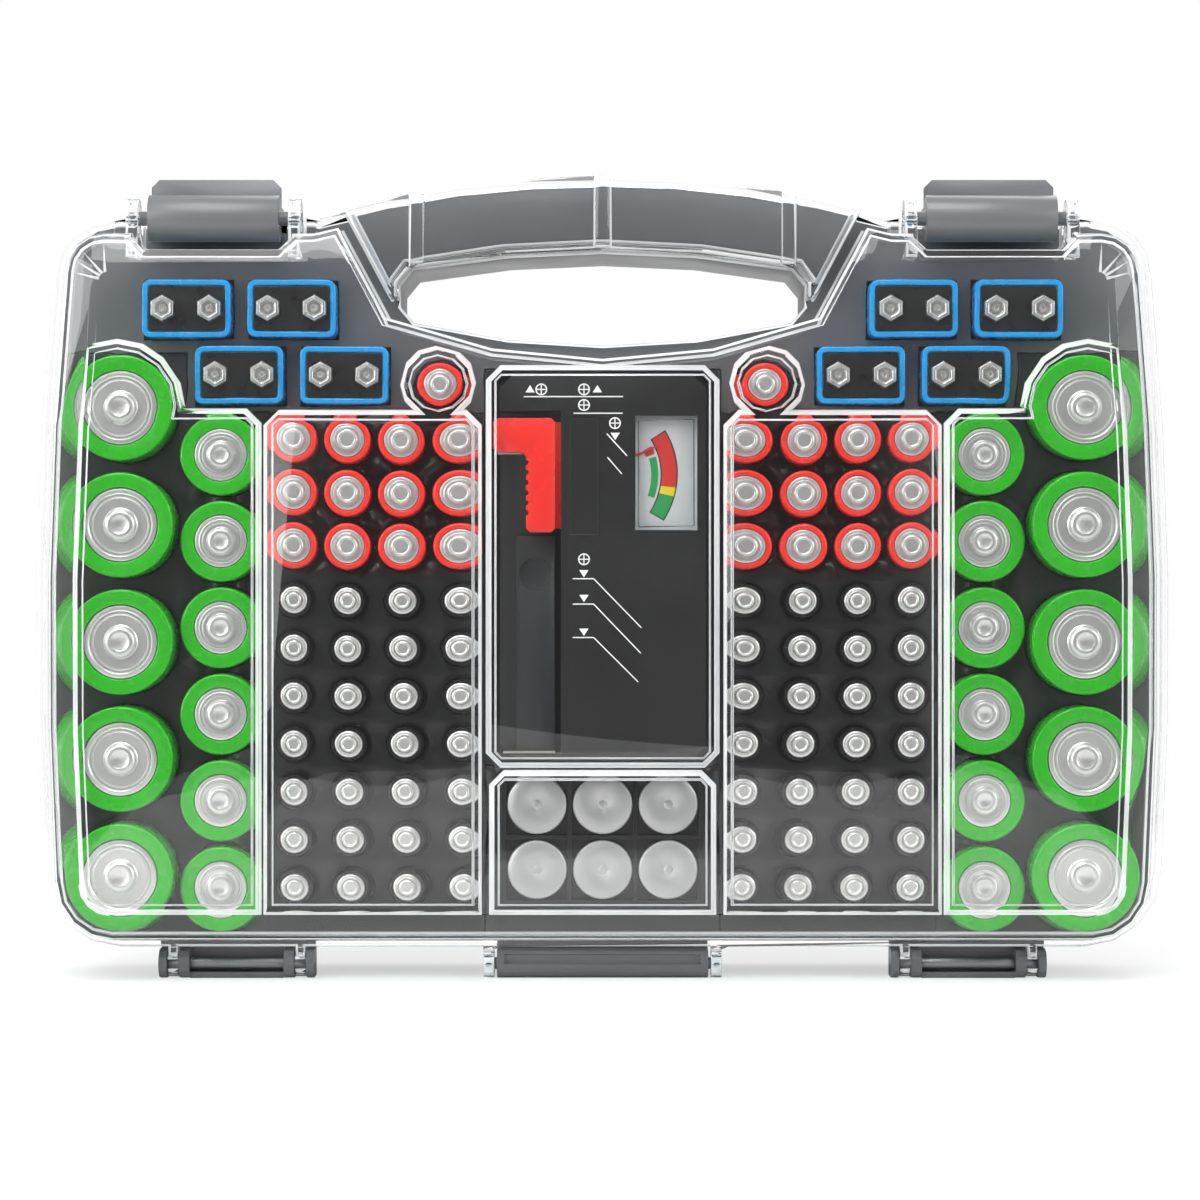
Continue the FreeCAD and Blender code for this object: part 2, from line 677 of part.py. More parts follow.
def nine_places(side):
    high = [(side * (NINE_FIRST + size("nine_shift") + step * NINE_PITCH), NINE_HIGH) for step in range(2)]
    return high + [(side * (NINE_FIRST + step * NINE_PITCH), NINE_LOW) for step in range(2)]


C_BACK = DECK - size("c_stand") + size("c_length")
AA_BACK = DECK - size("aa_stand") + size("aa_length")
AAA_BACK = DECK - size("aaa_stand") + size("aaa_length")
NINE_BACK = DECK - size("nine_stand") + size("nine_length")


def large_deck(side):
    """The dark block that holds the D and C cells of one side."""
    node = "large_cell_deck_" + side_name(side)
    zone = prism(node + "_zone", corner_outline(large_deck_corners(side)), DECK, INNER_BACK - DECK)
    body = shared(node + "_block", [interior(node + "_room", size("deck_gap") / 2, DECK, INNER_BACK), zone])
    tools = wells(node + "_d", d_places(side), D_WELL, WELL_BACK, LARGE_SIDES)
    tools += wells(node + "_c", c_places(side), C_WELL, C_BACK, ROUND_SIDES)
    keep(without(node + "_solid", body, tools), node)


def small_deck(side):
    """The black block that holds the AA and AAA cells of one side."""
    node = "small_cell_deck_" + side_name(side)
    low = TRAY_LOW + size("deck_gap")
    inner, outer = side * SMALL_INNER, side * SMALL_OUTER
    zone = rectangle(min(inner, outer), low, max(inner, outer), SMALL_TOP)
    body = prism(node + "_zone", zone, DECK, INNER_BACK - DECK)
    boss_radius = clear_radius(AA_WELL + size("web"))
    boss = bar(node + "_boss", (side * SPARE_X, DECK, SPARE_Z), INNER_BACK - DECK, boss_radius, "Y")
    tools = wells(node + "_aa", aa_places(side), AA_WELL, AA_BACK, SMALL_SIDES)
    tools += wells(node + "_aaa", aaa_places(side), AAA_WELL, AAA_BACK, HEX_SIDES)
    keep(without(node + "_solid", joined(node + "_block", [body, boss]), tools), node)


def coin_tray():
    """The tray of button cell wells at the bottom middle."""
    node = "button_cell_tray"
    low = TRAY_LOW + size("deck_gap")
    body = prism(node + "_outer", rectangle(-BAY_OUTER, low, BAY_OUTER, COIN_TOP), DECK, INNER_BACK - DECK)
    floor = DECK + size("coin_thickness") - size("coin_proud")
    start = DECK - size("overrun")
    tools = []
    for row, z in enumerate(COIN_ROWS):
        for column, x in enumerate(COIN_COLUMNS):
            half = COIN_WELL / 2
            well = rectangle(x - half, z - half, x + half, z + half)
            tools.append(prism(f"{node}_well_{row}_{column}", well, start, floor - start))
    wall = size("bay_wall")
    hollow = rectangle(-BAY_OUTER + wall, low + wall, BAY_OUTER - wall, COIN_TOP - wall)
    start = floor + size("bay_floor")
    tools.append(prism(node + "_hollow", hollow, start, INNER_BACK - start + size("overrun")))
    keep(without(node + "_solid", body, tools), node)
    front = floor - size("coin_thickness")
    coin = bar("button_cell", (0, front, 0), "sizes.coin_thickness", "sizes.coin_diameter / 2", "Y")
    places = [(x, 0, z) for z in COIN_ROWS for x in COIN_COLUMNS]
    keep(copies("button_cell_set", coin, places), "button_cells")


def tester_bay():
    """The open box that the tester stands in."""
    node = "tester_bay"
    body = prism(node + "_outer", rectangle(-BAY_OUTER, BAY_LOW, BAY_OUTER, BAY_TOP), DECK, INNER_BACK - DECK)
    wall = size("bay_wall")
    room = rectangle(-BAY_HALF, BAY_LOW + wall, BAY_HALF, BAY_TOP - wall, size("tester_corner"))
    front = prism(node + "_front", room, DECK - size("overrun"), TESTER_BACK - DECK + size("overrun"))
    start = TESTER_BACK + size("bay_floor")
    under = rectangle(-BAY_HALF, BAY_LOW + wall, BAY_HALF, BAY_TOP - wall)
    back = prism(node + "_under", under, start, INNER_BACK - start + size("overrun"))
    keep(without(node + "_solid", body, [front, back]), node)


def large_cell(name, diameter, length, sides):
    """A D or C cell with its nub towards the lid, its back end on the plane Y = 0."""
    radius = f"sizes.{diameter} / 2"
    jacket = bar(name + "_jacket", (0, 0, 0), f"sizes.{length} - sizes.nub_rise", radius, "Y", sides)
    nub = bar(name + "_nub", (0, 0, 0), f"sizes.{length}", size(diameter) / 2 * NUB_SHARE, "Y", SMALL_SIDES)
    for item in (jacket, nub):
        item.Placement = Placement(Vector(), Rotation(Vector(1, 0, 0), 90))
    return joined(name, [jacket, nub])


def small_cell(name, diameter, length, sides):
    """An AA or AAA cell, its back end on the plane Y = 0."""
    item = bar(name, (0, 0, 0), f"sizes.{length}", f"sizes.{diameter} / 2", "Y", sides)
    item.Placement = Placement(Vector(), Rotation(Vector(1, 0, 0), 90))
    return item


def cells():
    """Every cell that stands in a deck, grouped by kind."""
    kinds = [
        ("d_cells", large_cell("d_cell", "d_diameter", "d_length", LARGE_SIDES), WELL_BACK, d_places),
        ("c_cells", large_cell("c_cell", "c_diameter", "c_length", ROUND_SIDES), C_BACK, c_places),
        ("aa_cells", small_cell("aa_cell", "aa_diameter", "aa_length", SMALL_SIDES), AA_BACK, aa_places),
        ("aaa_cells", small_cell("aaa_cell", "aaa_diameter", "aaa_length", HEX_SIDES), AAA_BACK, aaa_places),
    ]
    for node, cell, back, places in kinds:
        spots = [(x, back, z) for side in (-1, 1) for x, z in places(side)]
        keep(copies(node + "_set", cell, spots), node)


def nine_volt_cells():
    """9 V cells, each a rounded case with two hexagonal terminals fused on."""
    half_w, half_h = size("nine_width") / 2, size("nine_height") / 2
    front = NINE_BACK - size("nine_length")
    outline = rectangle(-half_w, -half_h, half_w, half_h, size("nine_corner"))
    case = prism("nine_case", outline, front, "sizes.nine_length")
    parts = [case]
    for side in (-1, 1):
        snap = doc.addObject("Part::Prism", "snap_" + side_name(side))
        snap.Polygon = HEX_SIDES
        snap.setExpression("Circumradius", "sizes.snap_across / 2")
        snap.Height = size("snap_rise") + size("nine_corner")
        foot = Vector(side * size("snap_pitch") / 2, front + size("nine_corner"), 0)
        snap.Placement = Placement(foot, Rotation(Vector(1, 0, 0), 90))
        parts.append(snap)
    cell = joined("nine_volt_cell", parts)
    places = [(x, 0, z) for side in (-1, 1) for x, z in nine_places(side)]
    keep(copies("nine_volt_set", cell, places), "nine_volt_cells")


def hinge_lugs(side):
    """Hinge lugs of one hinge, bored for the pin, with the web that hangs them from the tray."""
    name = "hinge_" + side_name(side)
    middle = side * size("hinge_place")
    radius = size("hinge_radius")
    knuckle_in = size("barrel_half")
    knob_in = knuckle_in + size("knuckle") + size("hook_bay")
    reach = knob_in + size("knob")
    web_front = HINGE_Y + size("hook_radius") + size("hinge_gap")
    web_back = web_front + size("web_thickness")
    items = [block(name + "_web", (middle - reach, web_front, 0), (middle + reach, web_back, TRAY_LOW))]
    spans = []
    for hand in (-1, 1):
        spans.append((middle + hand * knuckle_in, hand * size("knuckle")))
        spans.append((middle + hand * knob_in, hand * size("knob")))
    for index, (start, width) in enumerate(spans):
        low = min(start, start + width)
        items.append(bar(f"{name}_lug_{index}", (low, HINGE_Y, HINGE_Z), abs(width), radius, "X"))
        high = low + abs(width)
        items.append(block(f"{name}_cheek_{index}", (low, HINGE_Y, 0), (high, web_back, 2 * radius)))
    lip = (HINGE_Z - size("pin_radius")) * LIP_SHARE
    items.append(block(name + "_lip", (middle - knuckle_in, HINGE_Y - size("skirt_wall"), 0),
                       (middle + knuckle_in, web_back, lip)))
    return items


def hinge_pin_span(side):
    reach = size("barrel_half") + size("knuckle") + size("hook_bay") + size("knob") * PIN_SEAT_SHARE
    return side * size("hinge_place") - reach, 2 * reach


def hinge_pins():
    for side in (-1, 1):
        start, length = hinge_pin_span(side)
        node = "hinge_pin_" + side_name(side)
        keep(rod(node + "_rod", (start, HINGE_Y, HINGE_Z), length, "sizes.pin_radius", "X"), node)


def foot():
    """The centre foot: a grooved round nose on the hinge axis, a block behind it and a stub at each end."""
    half = size("foot_half")
    radius = size("hinge_radius")
    rear = INNER_BACK
    high_front = HINGE_Y + size("hook_radius") + size("hinge_gap")
    solid = [
        bar("foot_nose", (-half, HINGE_Y, HINGE_Z), 2 * half, "sizes.hinge_radius", "X"),
        block("foot_low", (-half, HINGE_Y, 0), (half, rear, 2 * radius)),
        block("foot_high", (-half, high_front, radius), (half, rear, TRAY_LOW)),
    ]
    wall = size("tray_wall")
    groove = block(
        "foot_groove",
        (wall - half, HINGE_Y - radius - size("overrun"), HINGE_Z),
        (half - wall, HINGE_Y - radius * GROOVE_SHARE, HINGE_Z + size("foot_groove")),
    )
    body = without("foot_body", joined("foot_solid", solid), groove)
    reach = half + size("ear_gap") + size("ear_width")
    return [body, bar("foot_stubs", (-reach, HINGE_Y, HINGE_Z), 2 * reach, "sizes.pin_radius", "X")]


def catch(side):
    """The ridge on the tray that a latch hooks behind."""
    middle = side * size("latch_place")
    front = RIM + size("skirt_depth") + size("catch_gap")
    top = SHOULDER - size("rim_edge")
    return block(
        "catch_" + side_name(side),
        (middle - size("latch_half"), front, top - size("tray_wall")),
        (middle + size("latch_half"), front + size("catch_thickness"), top + size("catch_rise")),
    )


def nine_wells(side):
    """Sleeves of the 9 V wells of one side, and the pockets inside them."""
    sleeves, pockets = [], []
    for index, (x, z) in enumerate(nine_places(side)):
        name = f"nine_{side_name(side)}_{index}"
        sleeve = rectangle(x - NINE_REACH, z - NINE_RISE, x + NINE_REACH, z + NINE_RISE)
        sleeves.append(prism(name + "_sleeve", sleeve, DECK, NINE_BACK + size("sleeve_wall") - DECK))
        half_w = NINE_REACH - size("sleeve_wall")
        half_h = NINE_RISE - size("sleeve_wall")
        pocket = rectangle(x - half_w, z - half_h, x + half_w, z + half_h)
        start = DECK - size("overrun")
        pockets.append(prism(name + "_pocket", pocket, start, NINE_BACK - start))
    return sleeves, pockets


def upper_deck():
    """The grey deck across the top of the tray, clear of the darker decks below it."""
    gap = size("deck_gap")
    far = SHOULDER + 2 * size("arch_rise")
    corners = []
    for side in (-1, 1):
        run = [
            (side * (HALF_WIDTH + size("overrun")), D_TOP + gap),
            (side * (D_INNER - gap), D_TOP + gap),
            (side * (D_INNER - gap), C_TOP + gap),
            (side * LARGE_INNER, C_TOP + gap),
            (side * LARGE_INNER, SMALL_TOP + gap),
            (side * (BAY_OUTER + gap), SMALL_TOP + gap),
            (side * (BAY_OUTER + gap), BAY_TOP + gap),
        ]
        corners += run if side < 0 else run[::-1]
    corners += [(HALF_WIDTH + size("overrun"), far), (-HALF_WIDTH - size("overrun"), far)]
    plate = prism("upper_deck_zone", corner_outline(corners), DECK, size("tray_wall"))
    room = interior("upper_deck_room", 0, DECK, DECK + size("tray_wall"))
    bosses = [
        bar("upper_deck_spare_" + side_name(side), (side * SPARE_X, DECK - size("overrun"), SPARE_Z),
            THROUGH, clear_radius(AA_WELL + size("web") + gap), "Y")
        for side in (-1, 1)
    ]
    return without("upper_deck", shared("upper_deck_plate", [plate, room]), bosses)


def tray():
    """The grey shell with its upper deck, grip core, hinges, catches and foot."""
    edge = size("rim_edge")
    outer = prism("tray_outer", case_outline(size("rim_side"), edge, edge), DECK, BACK - DECK)
    hollow = interior("tray_hollow", 0, DECK - size("overrun"), INNER_BACK)
    shell = without("tray_tub", outer, hollow)
    ring_out = size("hole_lip") + size("tray_wall")
    ring = prism("tray_hole_ring", hole_outline(ring_out), DECK, BACK - DECK)
    core_front = RIM - size("grip_rise") + size("lid_wall") + size("core_play")
    core_skin = size("grip_wall") + size("core_play")
    core = grip_solid("tray_grip", core_skin, core_front, DECK + size("tray_wall"))
    solids = [shell, upper_deck(), ring, core, *foot()]
    tools = [prism("tray_hole", hole_outline(size("hole_lip")), FRONT - size("overrun"), THROUGH)]
    for side in (-1, 1):
        sleeves, pockets = nine_wells(side)
        solids += sleeves + hinge_lugs(side) + [catch(side)]
        tools += pockets
        start, length = hinge_pin_span(side)
        bore = clear_radius(size("pin_radius"))
        tools.append(bar("pin_bore_" + side_name(side), (start, HINGE_Y, HINGE_Z), length, bore, "X"))
    keep(without("tray_solid", joined("tray_parts", solids), tools), "tray_shell")


def lid_box(name, skin, front, back):
    """The bevelled box of the lid, drawn in by a skin, cut off at its back."""
    side, low, high = size("rim_side") + skin, size("box_low") + skin, size("rim_side") + skin
    wide = case_outline(side, low, high)
    narrow = case_outline(side + size("bevel_width"), low + size("bevel_width"), high + size("bevel_high"))
    return joined(
        name,
        [
            tapered(name + "_bevel", wide, BEVEL_START, narrow, front),
            prism(name + "_straight", case_outline(side, low, high), BEVEL_START, back - BEVEL_START),
        ],
    )


def panel_outline(inwards):
    """The flat front of the lid, drawn in."""
    side = size("rim_side") + size("bevel_width") + size("window_edge") + inwards
    low = size("box_low") + size("bevel_width") + size("window_edge") + inwards
    high = size("rim_side") + size("bevel_high") + size("window_edge") + inwards
    return case_outline(side, low, high)


def lid_windows(name, inwards, front, back):
    """One window per deck, drawn in, kept within the flat front of the lid."""
    gap = size("window_gap") + inwards
    low = BASE
    depth = back - front
    turn = max(size("window_corner") - inwards, size("window_gap"))
    shapes = []
    for side in (-1, 1):
        tag = name + "_" + side_name(side)
        inner, outer = side * (LARGE_INNER + gap), side * HALF_WIDTH
        large = rectangle(min(inner, outer), low, max(inner, outer), C_TOP - gap, turn)
        shapes.append(prism(tag + "_large", large, front, depth))
        crown = D_WELL + size("web") + size("lid_wall") - inwards
        shapes.append(bar(tag + "_crown", (side * D_X, front, D_ROWS[-1]), depth, crown, "Y", LARGE_SIDES))
        middle = side * D_X
        high = D_ROWS[-1] + crown * CROWN_SHARE
        past = rectangle(min(middle, outer), low, max(middle, outer), high)
        shapes.append(prism(tag + "_past", past, front, depth))
        inner, outer = side * (SMALL_INNER + gap), side * (SMALL_OUTER - gap)
        small = rectangle(min(inner, outer), low, max(inner, outer), SMALL_TOP - gap, turn)
        shapes.append(prism(tag + "_small", small, front, depth))
        radius = AA_WELL + size("web") + size("lid_wall") - inwards
        shapes.append(bar(tag + "_spare", (side * SPARE_X, front, SPARE_Z), depth, radius, "Y"))
    half = BAY_HALF - inwards
    tester = rectangle(-half, BAY_LOW + gap, half, BAY_TOP - gap, turn)
    shapes.append(prism(name + "_tester", tester, front, depth))
    coins = rectangle(-half + size("window_gap"), low, half - size("window_gap"), COIN_TOP - gap, turn)
    shapes.append(prism(name + "_coins", coins, front, depth))
    frame = prism(name + "_frame", panel_outline(inwards), front, depth)
    return shared(name, [frame, joined(name + "_all", shapes)])


def latch_pocket(name, side, wider, front, back):
    """The notch in the top of the lid that a latch lies in."""
    middle = side * size("latch_place")
    half = size("latch_half") + size("pocket_play") + wider
    low = PIVOT_Z - size("latch_radius") - size("pocket_drop") - wider
    high = ARCH + size("overrun")
    outline = rectangle(middle - half, low, middle + half, high, size("pocket_corner") + wider)
    return prism(name, outline, front, back - front)


def latch_ears(side):
    """Two ears that carry the pivot stubs of a latch, and the bores in them."""
    ears, bores = [], []
    for hand in (-1, 1):
        name = f"ear_{side_name(side)}_{side_name(hand)}"
        near = side * size("latch_place") + hand * (size("latch_half") + size("stub_bay"))
        low = min(near, near + hand * size("latch_ear"))
        radius = size("latch_ear_radius")
        foot = PIVOT_Z - size("latch_radius") - size("pocket_drop") - size("lid_wall")
        ears.append(bar(name + "_top", (low, PIVOT_Y, PIVOT_Z), size("latch_ear"), clear_radius(radius), "X"))
        high = low + size("latch_ear")
        ears.append(block(name + "_foot", (low, PIVOT_Y - radius, foot), (high, FLANGE_FRONT, PIVOT_Z)))
        bore = clear_radius(size("stub_radius") + size("stub_play"))
        bores.append(bar(name + "_bore", (low - size("overrun") / 2, PIVOT_Y, PIVOT_Z),
                         size("latch_ear") + size("overrun"), bore, "X"))
    return ears, bores


def lid_hooks(side):
    """Open hooks that snap over one hinge pin, and the cuts that shape them."""
    hooks, cuts = [], []
    for hand in (-1, 1):
        name = f"hook_{side_name(side)}_{side_name(hand)}"
        reach = size("barrel_half") + size("knuckle") + size("hook_bay") / 2
        bay = side * size("hinge_place") + hand * reach
        low = bay - size("hook_width") / 2
        high = low + size("hook_width")
        start = (low, HINGE_Y, HINGE_Z)
        hooks.append(bar(name + "_ring", start, size("hook_width"), size("hook_radius"), "X"))
        hooks.append(block(name + "_neck", (low, FLANGE_FRONT, HINGE_Z + size("pin_radius")),
                           (high, RIM + size("flange"), BASE + size("flange"))))
        cuts += hook_cuts(name, low, high, size("hook_radius"))
    return hooks, cuts


def hook_cuts(name, low, high, reach):
    """A bore with running play and a mouth narrower than the pin, open to the front."""
    bore = clear_radius(size("pin_radius") + size("pin_play"))
    mouth = size("pin_radius") * MOUTH_SHARE
    over = size("pin_play")
    return [
        bar(name + "_bore", (low - over, HINGE_Y, HINGE_Z), high - low + 2 * over, bore, "X"),
        block(name + "_mouth", (low - over, HINGE_Y - reach - size("overrun") / 2, HINGE_Z - mouth),
              (high + over, HINGE_Y, HINGE_Z + mouth)),
    ]


def foot_ears():
    """Ears of the lid that turn on the stubs of the centre foot."""
    radius = size("hinge_radius")
    ears, cuts = [], []
    for side in (-1, 1):
        name = "foot_ear_" + side_name(side)
        near = side * (size("foot_half") + size("ear_gap"))
        low = min(near, near + side * size("ear_width"))
        high = low + size("ear_width")
        ears.append(bar(name + "_ring", (low, HINGE_Y, HINGE_Z), size("ear_width"), radius, "X"))
        ears.append(block(name + "_neck", (low, FLANGE_FRONT, HINGE_Z + size("pin_radius")),
                          (high, RIM + size("flange"), BASE + size("flange"))))
        cuts += hook_cuts(name, low, high, radius)[:1]
    return ears, cuts


def lid():
    """The clear lid: flange and skirt, bevelled box with raised windows, hollow grip, ears and hooks."""
    wall = size("lid_wall")
    over = size("overrun")
    start = FRONT - over
    notches = [prism("lid_notch", notch_outline(0), start, FLANGE_FRONT - start)]
    for side in (-1, 1):
        notches.append(latch_pocket("pocket_" + side_name(side), side, 0, start, FLANGE_FRONT))
    outer_box = lid_box("lid_outer_box", 0, PANEL, FLANGE_FRONT + size("flange") / 2)
    outer = without("lid_outer", outer_box, notches)
    windows = lid_windows("lid_windows", 0, FRONT, PANEL + wall / 2)
    flange = prism("lid_flange", case_outline(0, 0, 0), FLANGE_FRONT, size("flange") + size("skirt_depth"))
    recess = prism(
        "lid_recess", case_outline(*[size("skirt_wall")] * 3), RIM, size("skirt_depth") + over
    )
    skirt = without("lid_skirt", flange, recess)
    grip_front = RIM - size("grip_rise")
    grip = grip_solid("lid_grip", 0, grip_front, RIM)
    bands = []
    for step in (-1, 0, 1):
        low = step * size("rib_step") - size("rib_width") / 2
        high = low + size("rib_width")
        bands.append(block(f"lid_band_{step}", (low, grip_front - over, HOLE_MID), (high, RIM, ARCH + over)))
    ribs = shared(
        "lid_ribs",
        [grip_solid("lid_rib_grip", 0, grip_front - size("rib_rise"), RIM), joined("lid_bands", bands)],
    )
    solids = [outer, windows, skirt, grip, ribs]
    pocket_walls = [prism("lid_notch_wall", notch_outline(wall), start, THROUGH)]
    for side in (-1, 1):
        pocket_walls.append(latch_pocket("pocket_wall_" + side_name(side), side, wall, start, BACK))
    hollow = without("lid_hollow", lid_box("lid_inner_box", wall, PANEL_INSIDE, RIM + over), pocket_walls)
    tools = [
        hollow,
        lid_windows("lid_window_hollows", wall, FRONT + wall, PANEL_INSIDE + wall / 2),
        grip_solid("lid_grip_hollow", size("grip_wall"), grip_front + wall, RIM + over),
        prism("lid_hole", hole_outline(0), start, THROUGH),
    ]
    pairs = [latch_ears(-1), latch_ears(1), lid_hooks(-1), lid_hooks(1), foot_ears()]
    walls = without("lid_walls", joined("lid_solids", solids), tools)
    added = [item for items, cuts in pairs for item in items]
    taken = [item for items, cuts in pairs for item in cuts]
    keep(without("lid_solid", joined("lid_parts", [walls, *added]), taken), "lid_shell")


def latch(side):
    """A latch: barrel on two stubs, an arm over the rim with a lip behind the catch, and a finger tab."""
    node = "latch_" + side_name(side)
    middle = side * size("latch_place")
    half = size("latch_half")
    low, high = middle - half, middle + half
    reach = half + size("stub_bay") + size("latch_ear") * PIN_SEAT_SHARE
    catch_top = SHOULDER - size("rim_edge") + size("catch_rise")
    lip_front = RIM + size("skirt_depth") + 2 * size("catch_gap") + size("catch_thickness")
    lip_back = lip_front + size("lip_thickness")
    arm_low = SHOULDER + size("arm_clear")
    arm_high = arm_low + size("arm_thickness")
    tab_front = PIVOT_Y + size("latch_radius") - size("tab_thickness")
    tab = rectangle(low, PIVOT_Z, high, PIVOT_Z + size("tab_rise"), size("tab_corner"))
    solids = [
        rod(node + "_barrel", (low, PIVOT_Y, PIVOT_Z), 2 * half, "sizes.latch_radius", "X"),
        bar(node + "_stubs", (middle - reach, PIVOT_Y, PIVOT_Z), 2 * reach, "sizes.stub_radius", "X"),
        block(node + "_arm", (low, PIVOT_Y, arm_low), (high, lip_back, arm_high)),
        block(node + "_lip", (low, lip_front, catch_top - size("lip_reach")), (high, lip_back, arm_high)),
        prism(node + "_tab", tab, tab_front, "sizes.tab_thickness"),
    ]
    keep(joined(node + "_solid", solids), node)


CHANNEL_X = -size("tester_half") + size("channel_width")
CHANNEL_LOW = TESTER_LOW + size("channel_foot")
CHANNEL_HIGH = TESTER_TOP - size("channel_head")
CHANNEL_FLOOR = TESTER_FRONT + size("channel_depth")
CASING_X = CHANNEL_X + size("groove_depth") + size("tester_wall")
GROOVE_Y = TESTER_FRONT + size("arm_sink") + size("arm_depth") / 2
COVER_FRONT = TESTER_BACK - size("cover_depth")
METER_HIGH_X = size("tester_half") - size("meter_side")
METER_LOW_X = METER_HIGH_X - size("meter_width")
METER_TOP = TESTER_TOP - size("meter_head")
METER_LOW = METER_TOP - size("meter_height")
METER_X = (METER_LOW_X + METER_HIGH_X) / 2
RESISTOR_Z = METER_LOW - size("meter_height")
NEEDLE_X = METER_LOW_X - size("pivot_in")
NEEDLE_Z = (METER_TOP + METER_LOW) / 2
NEEDLE_FRONT = TESTER_FRONT + size("tester_wall") + size("meter_lip") + size("needle_gap")
MOVEMENT_FRONT = TESTER_FRONT + size("dial_gap") + size("dial_thickness")
SCREW_SEAT = TESTER_BACK - size("tester_wall") / 2
SCREW_IN = size("tester_wall") + size("post_radius") * POST_SHARE


def tester_outline(inwards):
    half = size("tester_half") - inwards
    turn = max(size("tester_corner") - inwards, size("tester_wall"))
    return rectangle(-half, TESTER_LOW + inwards, half, TESTER_TOP - inwards, turn)


def screw_places():
    spots = []
    for side in (-1, 1):
        for z in (TESTER_LOW + SCREW_IN, TESTER_TOP - SCREW_IN):
            spots.append((side * (size("tester_half") - SCREW_IN), z))
    return spots


def tester_front():
    """The front shell of the tester with the arm channel, the centre slot and the meter opening."""
    wall = size("tester_wall")
    over = size("overrun")
    open_front = TESTER_FRONT - over
    half = size("tester_half")
    shell = prism("tester_outer", tester_outline(0), TESTER_FRONT, COVER_FRONT - TESTER_FRONT)
    casing = block(
        "tester_casing",
        (-half - over, TESTER_FRONT - over, CHANNEL_LOW - over),
        (CASING_X, CHANNEL_FLOOR + wall, CHANNEL_HIGH + wall),
    )
    room = prism("tester_room", tester_outline(wall), TESTER_FRONT + wall, COVER_FRONT - TESTER_FRONT)
    walls = without("tester_walls", shell, without("tester_hollow", room, casing))
    posts = []
    for index, (x, z) in enumerate(screw_places()):
        start = CHANNEL_FLOOR + wall / 2 if x < 0 else TESTER_FRONT + wall / 2
        reach = TESTER_BACK - wall - start
        posts.append(bar(f"tester_post_{index}", (x, start, z), reach, "sizes.post_radius", "Y", SMALL_SIDES))
    slot = rectangle(
        CHANNEL_X + size("slot_gap"),
        METER_LOW - wall / 2,
        CHANNEL_X + size("slot_gap") + size("slot_width"),
        METER_TOP,
        size("arm_corner"),
    )
    tools = [
        block(
            "tester_channel",
            (-half - over, open_front, CHANNEL_LOW),
            (CHANNEL_X, CHANNEL_FLOOR, CHANNEL_HIGH),
        ),
        block(
            "tester_groove",
            (CHANNEL_X - over, GROOVE_Y - size("groove_width") / 2, CHANNEL_LOW),
            (CHANNEL_X + size("groove_depth"), GROOVE_Y + size("groove_width") / 2, CHANNEL_HIGH),
        ),
        prism("tester_slot", slot, open_front, over + size("slot_depth")),
        block(
            "tester_meter",
            (METER_LOW_X, open_front, METER_LOW),
            (METER_HIGH_X, TESTER_FRONT + 2 * wall, METER_TOP),
        ),
    ]
    for index, (x, z) in enumerate(screw_places()):
        reach = size("screw_length")
        start = SCREW_SEAT - reach
        tools.append(bar(f"tester_tap_{index}", (x, start, z), reach, "sizes.screw_radius", "Y", HEX_SIDES))
    keep(without("tester_front_solid", joined("tester_front_parts", [walls, *posts]), tools), "tester_front")


def resistor_rod(name, radius):
    length = size("resistor_length")
    y = TESTER_BACK - size("tester_wall") - size("resistor_radius")
    return bar(name, (METER_X - length / 2, y, RESISTOR_Z), length, radius, "X", SMALL_SIDES)


def tester_back():
    """The back cover of the tester with sunk screw holes and a saddle for the load resistor."""
    wall = size("tester_wall")
    plate = prism("cover_plate", tester_outline(0), COVER_FRONT, "sizes.cover_depth")
    inside = prism("cover_inside", tester_outline(wall), COVER_FRONT - wall, size("cover_depth"))
    radius = size("resistor_radius")
    rise = radius * SADDLE_SHARE
    saddle = block(
        "cover_saddle",
        (METER_X - radius, TESTER_BACK - wall - radius, RESISTOR_Z - rise),
        (METER_X + radius, TESTER_BACK - wall / 2, RESISTOR_Z + rise),
    )
    tools = [resistor_rod("cover_seat", "sizes.resistor_radius")]
    for index, (x, z) in enumerate(screw_places()):
        start = COVER_FRONT - wall
        reach = TESTER_BACK - wall - start
        room = size("post_radius") + size("post_play")
        tools.append(bar(f"cover_room_{index}", (x, start, z), reach, room, "Y", SMALL_SIDES))
        tools.append(bar(f"cover_bore_{index}", (x, start, z), THROUGH, "sizes.screw_radius", "Y", HEX_SIDES))
        seat = (x, SCREW_SEAT, z)
        tools.append(bar(f"cover_sink_{index}", seat, THROUGH, "sizes.screw_head", "Y", SMALL_SIDES))
    body = joined("cover_parts", [without("cover_tray", plate, inside), saddle])
    keep(without("cover_solid", body, tools), "tester_back")
    keep(resistor_rod("resistor", "sizes.resistor_radius"), "load_resistor")
    reach = size("screw_length")
    head = wall * HEAD_SHARE
    screw = joined(
        "screw",
        [
            bar("screw_shank", (0, SCREW_SEAT - reach, 0), reach, "sizes.screw_radius", "Y", HEX_SIDES),
            bar("screw_cap", (0, SCREW_SEAT, 0), head, "sizes.screw_head", "Y", SMALL_SIDES),
        ],
    )
    keep(copies("screw_set", screw, [(x, 0, z) for x, z in screw_places()]), "tester_screws")


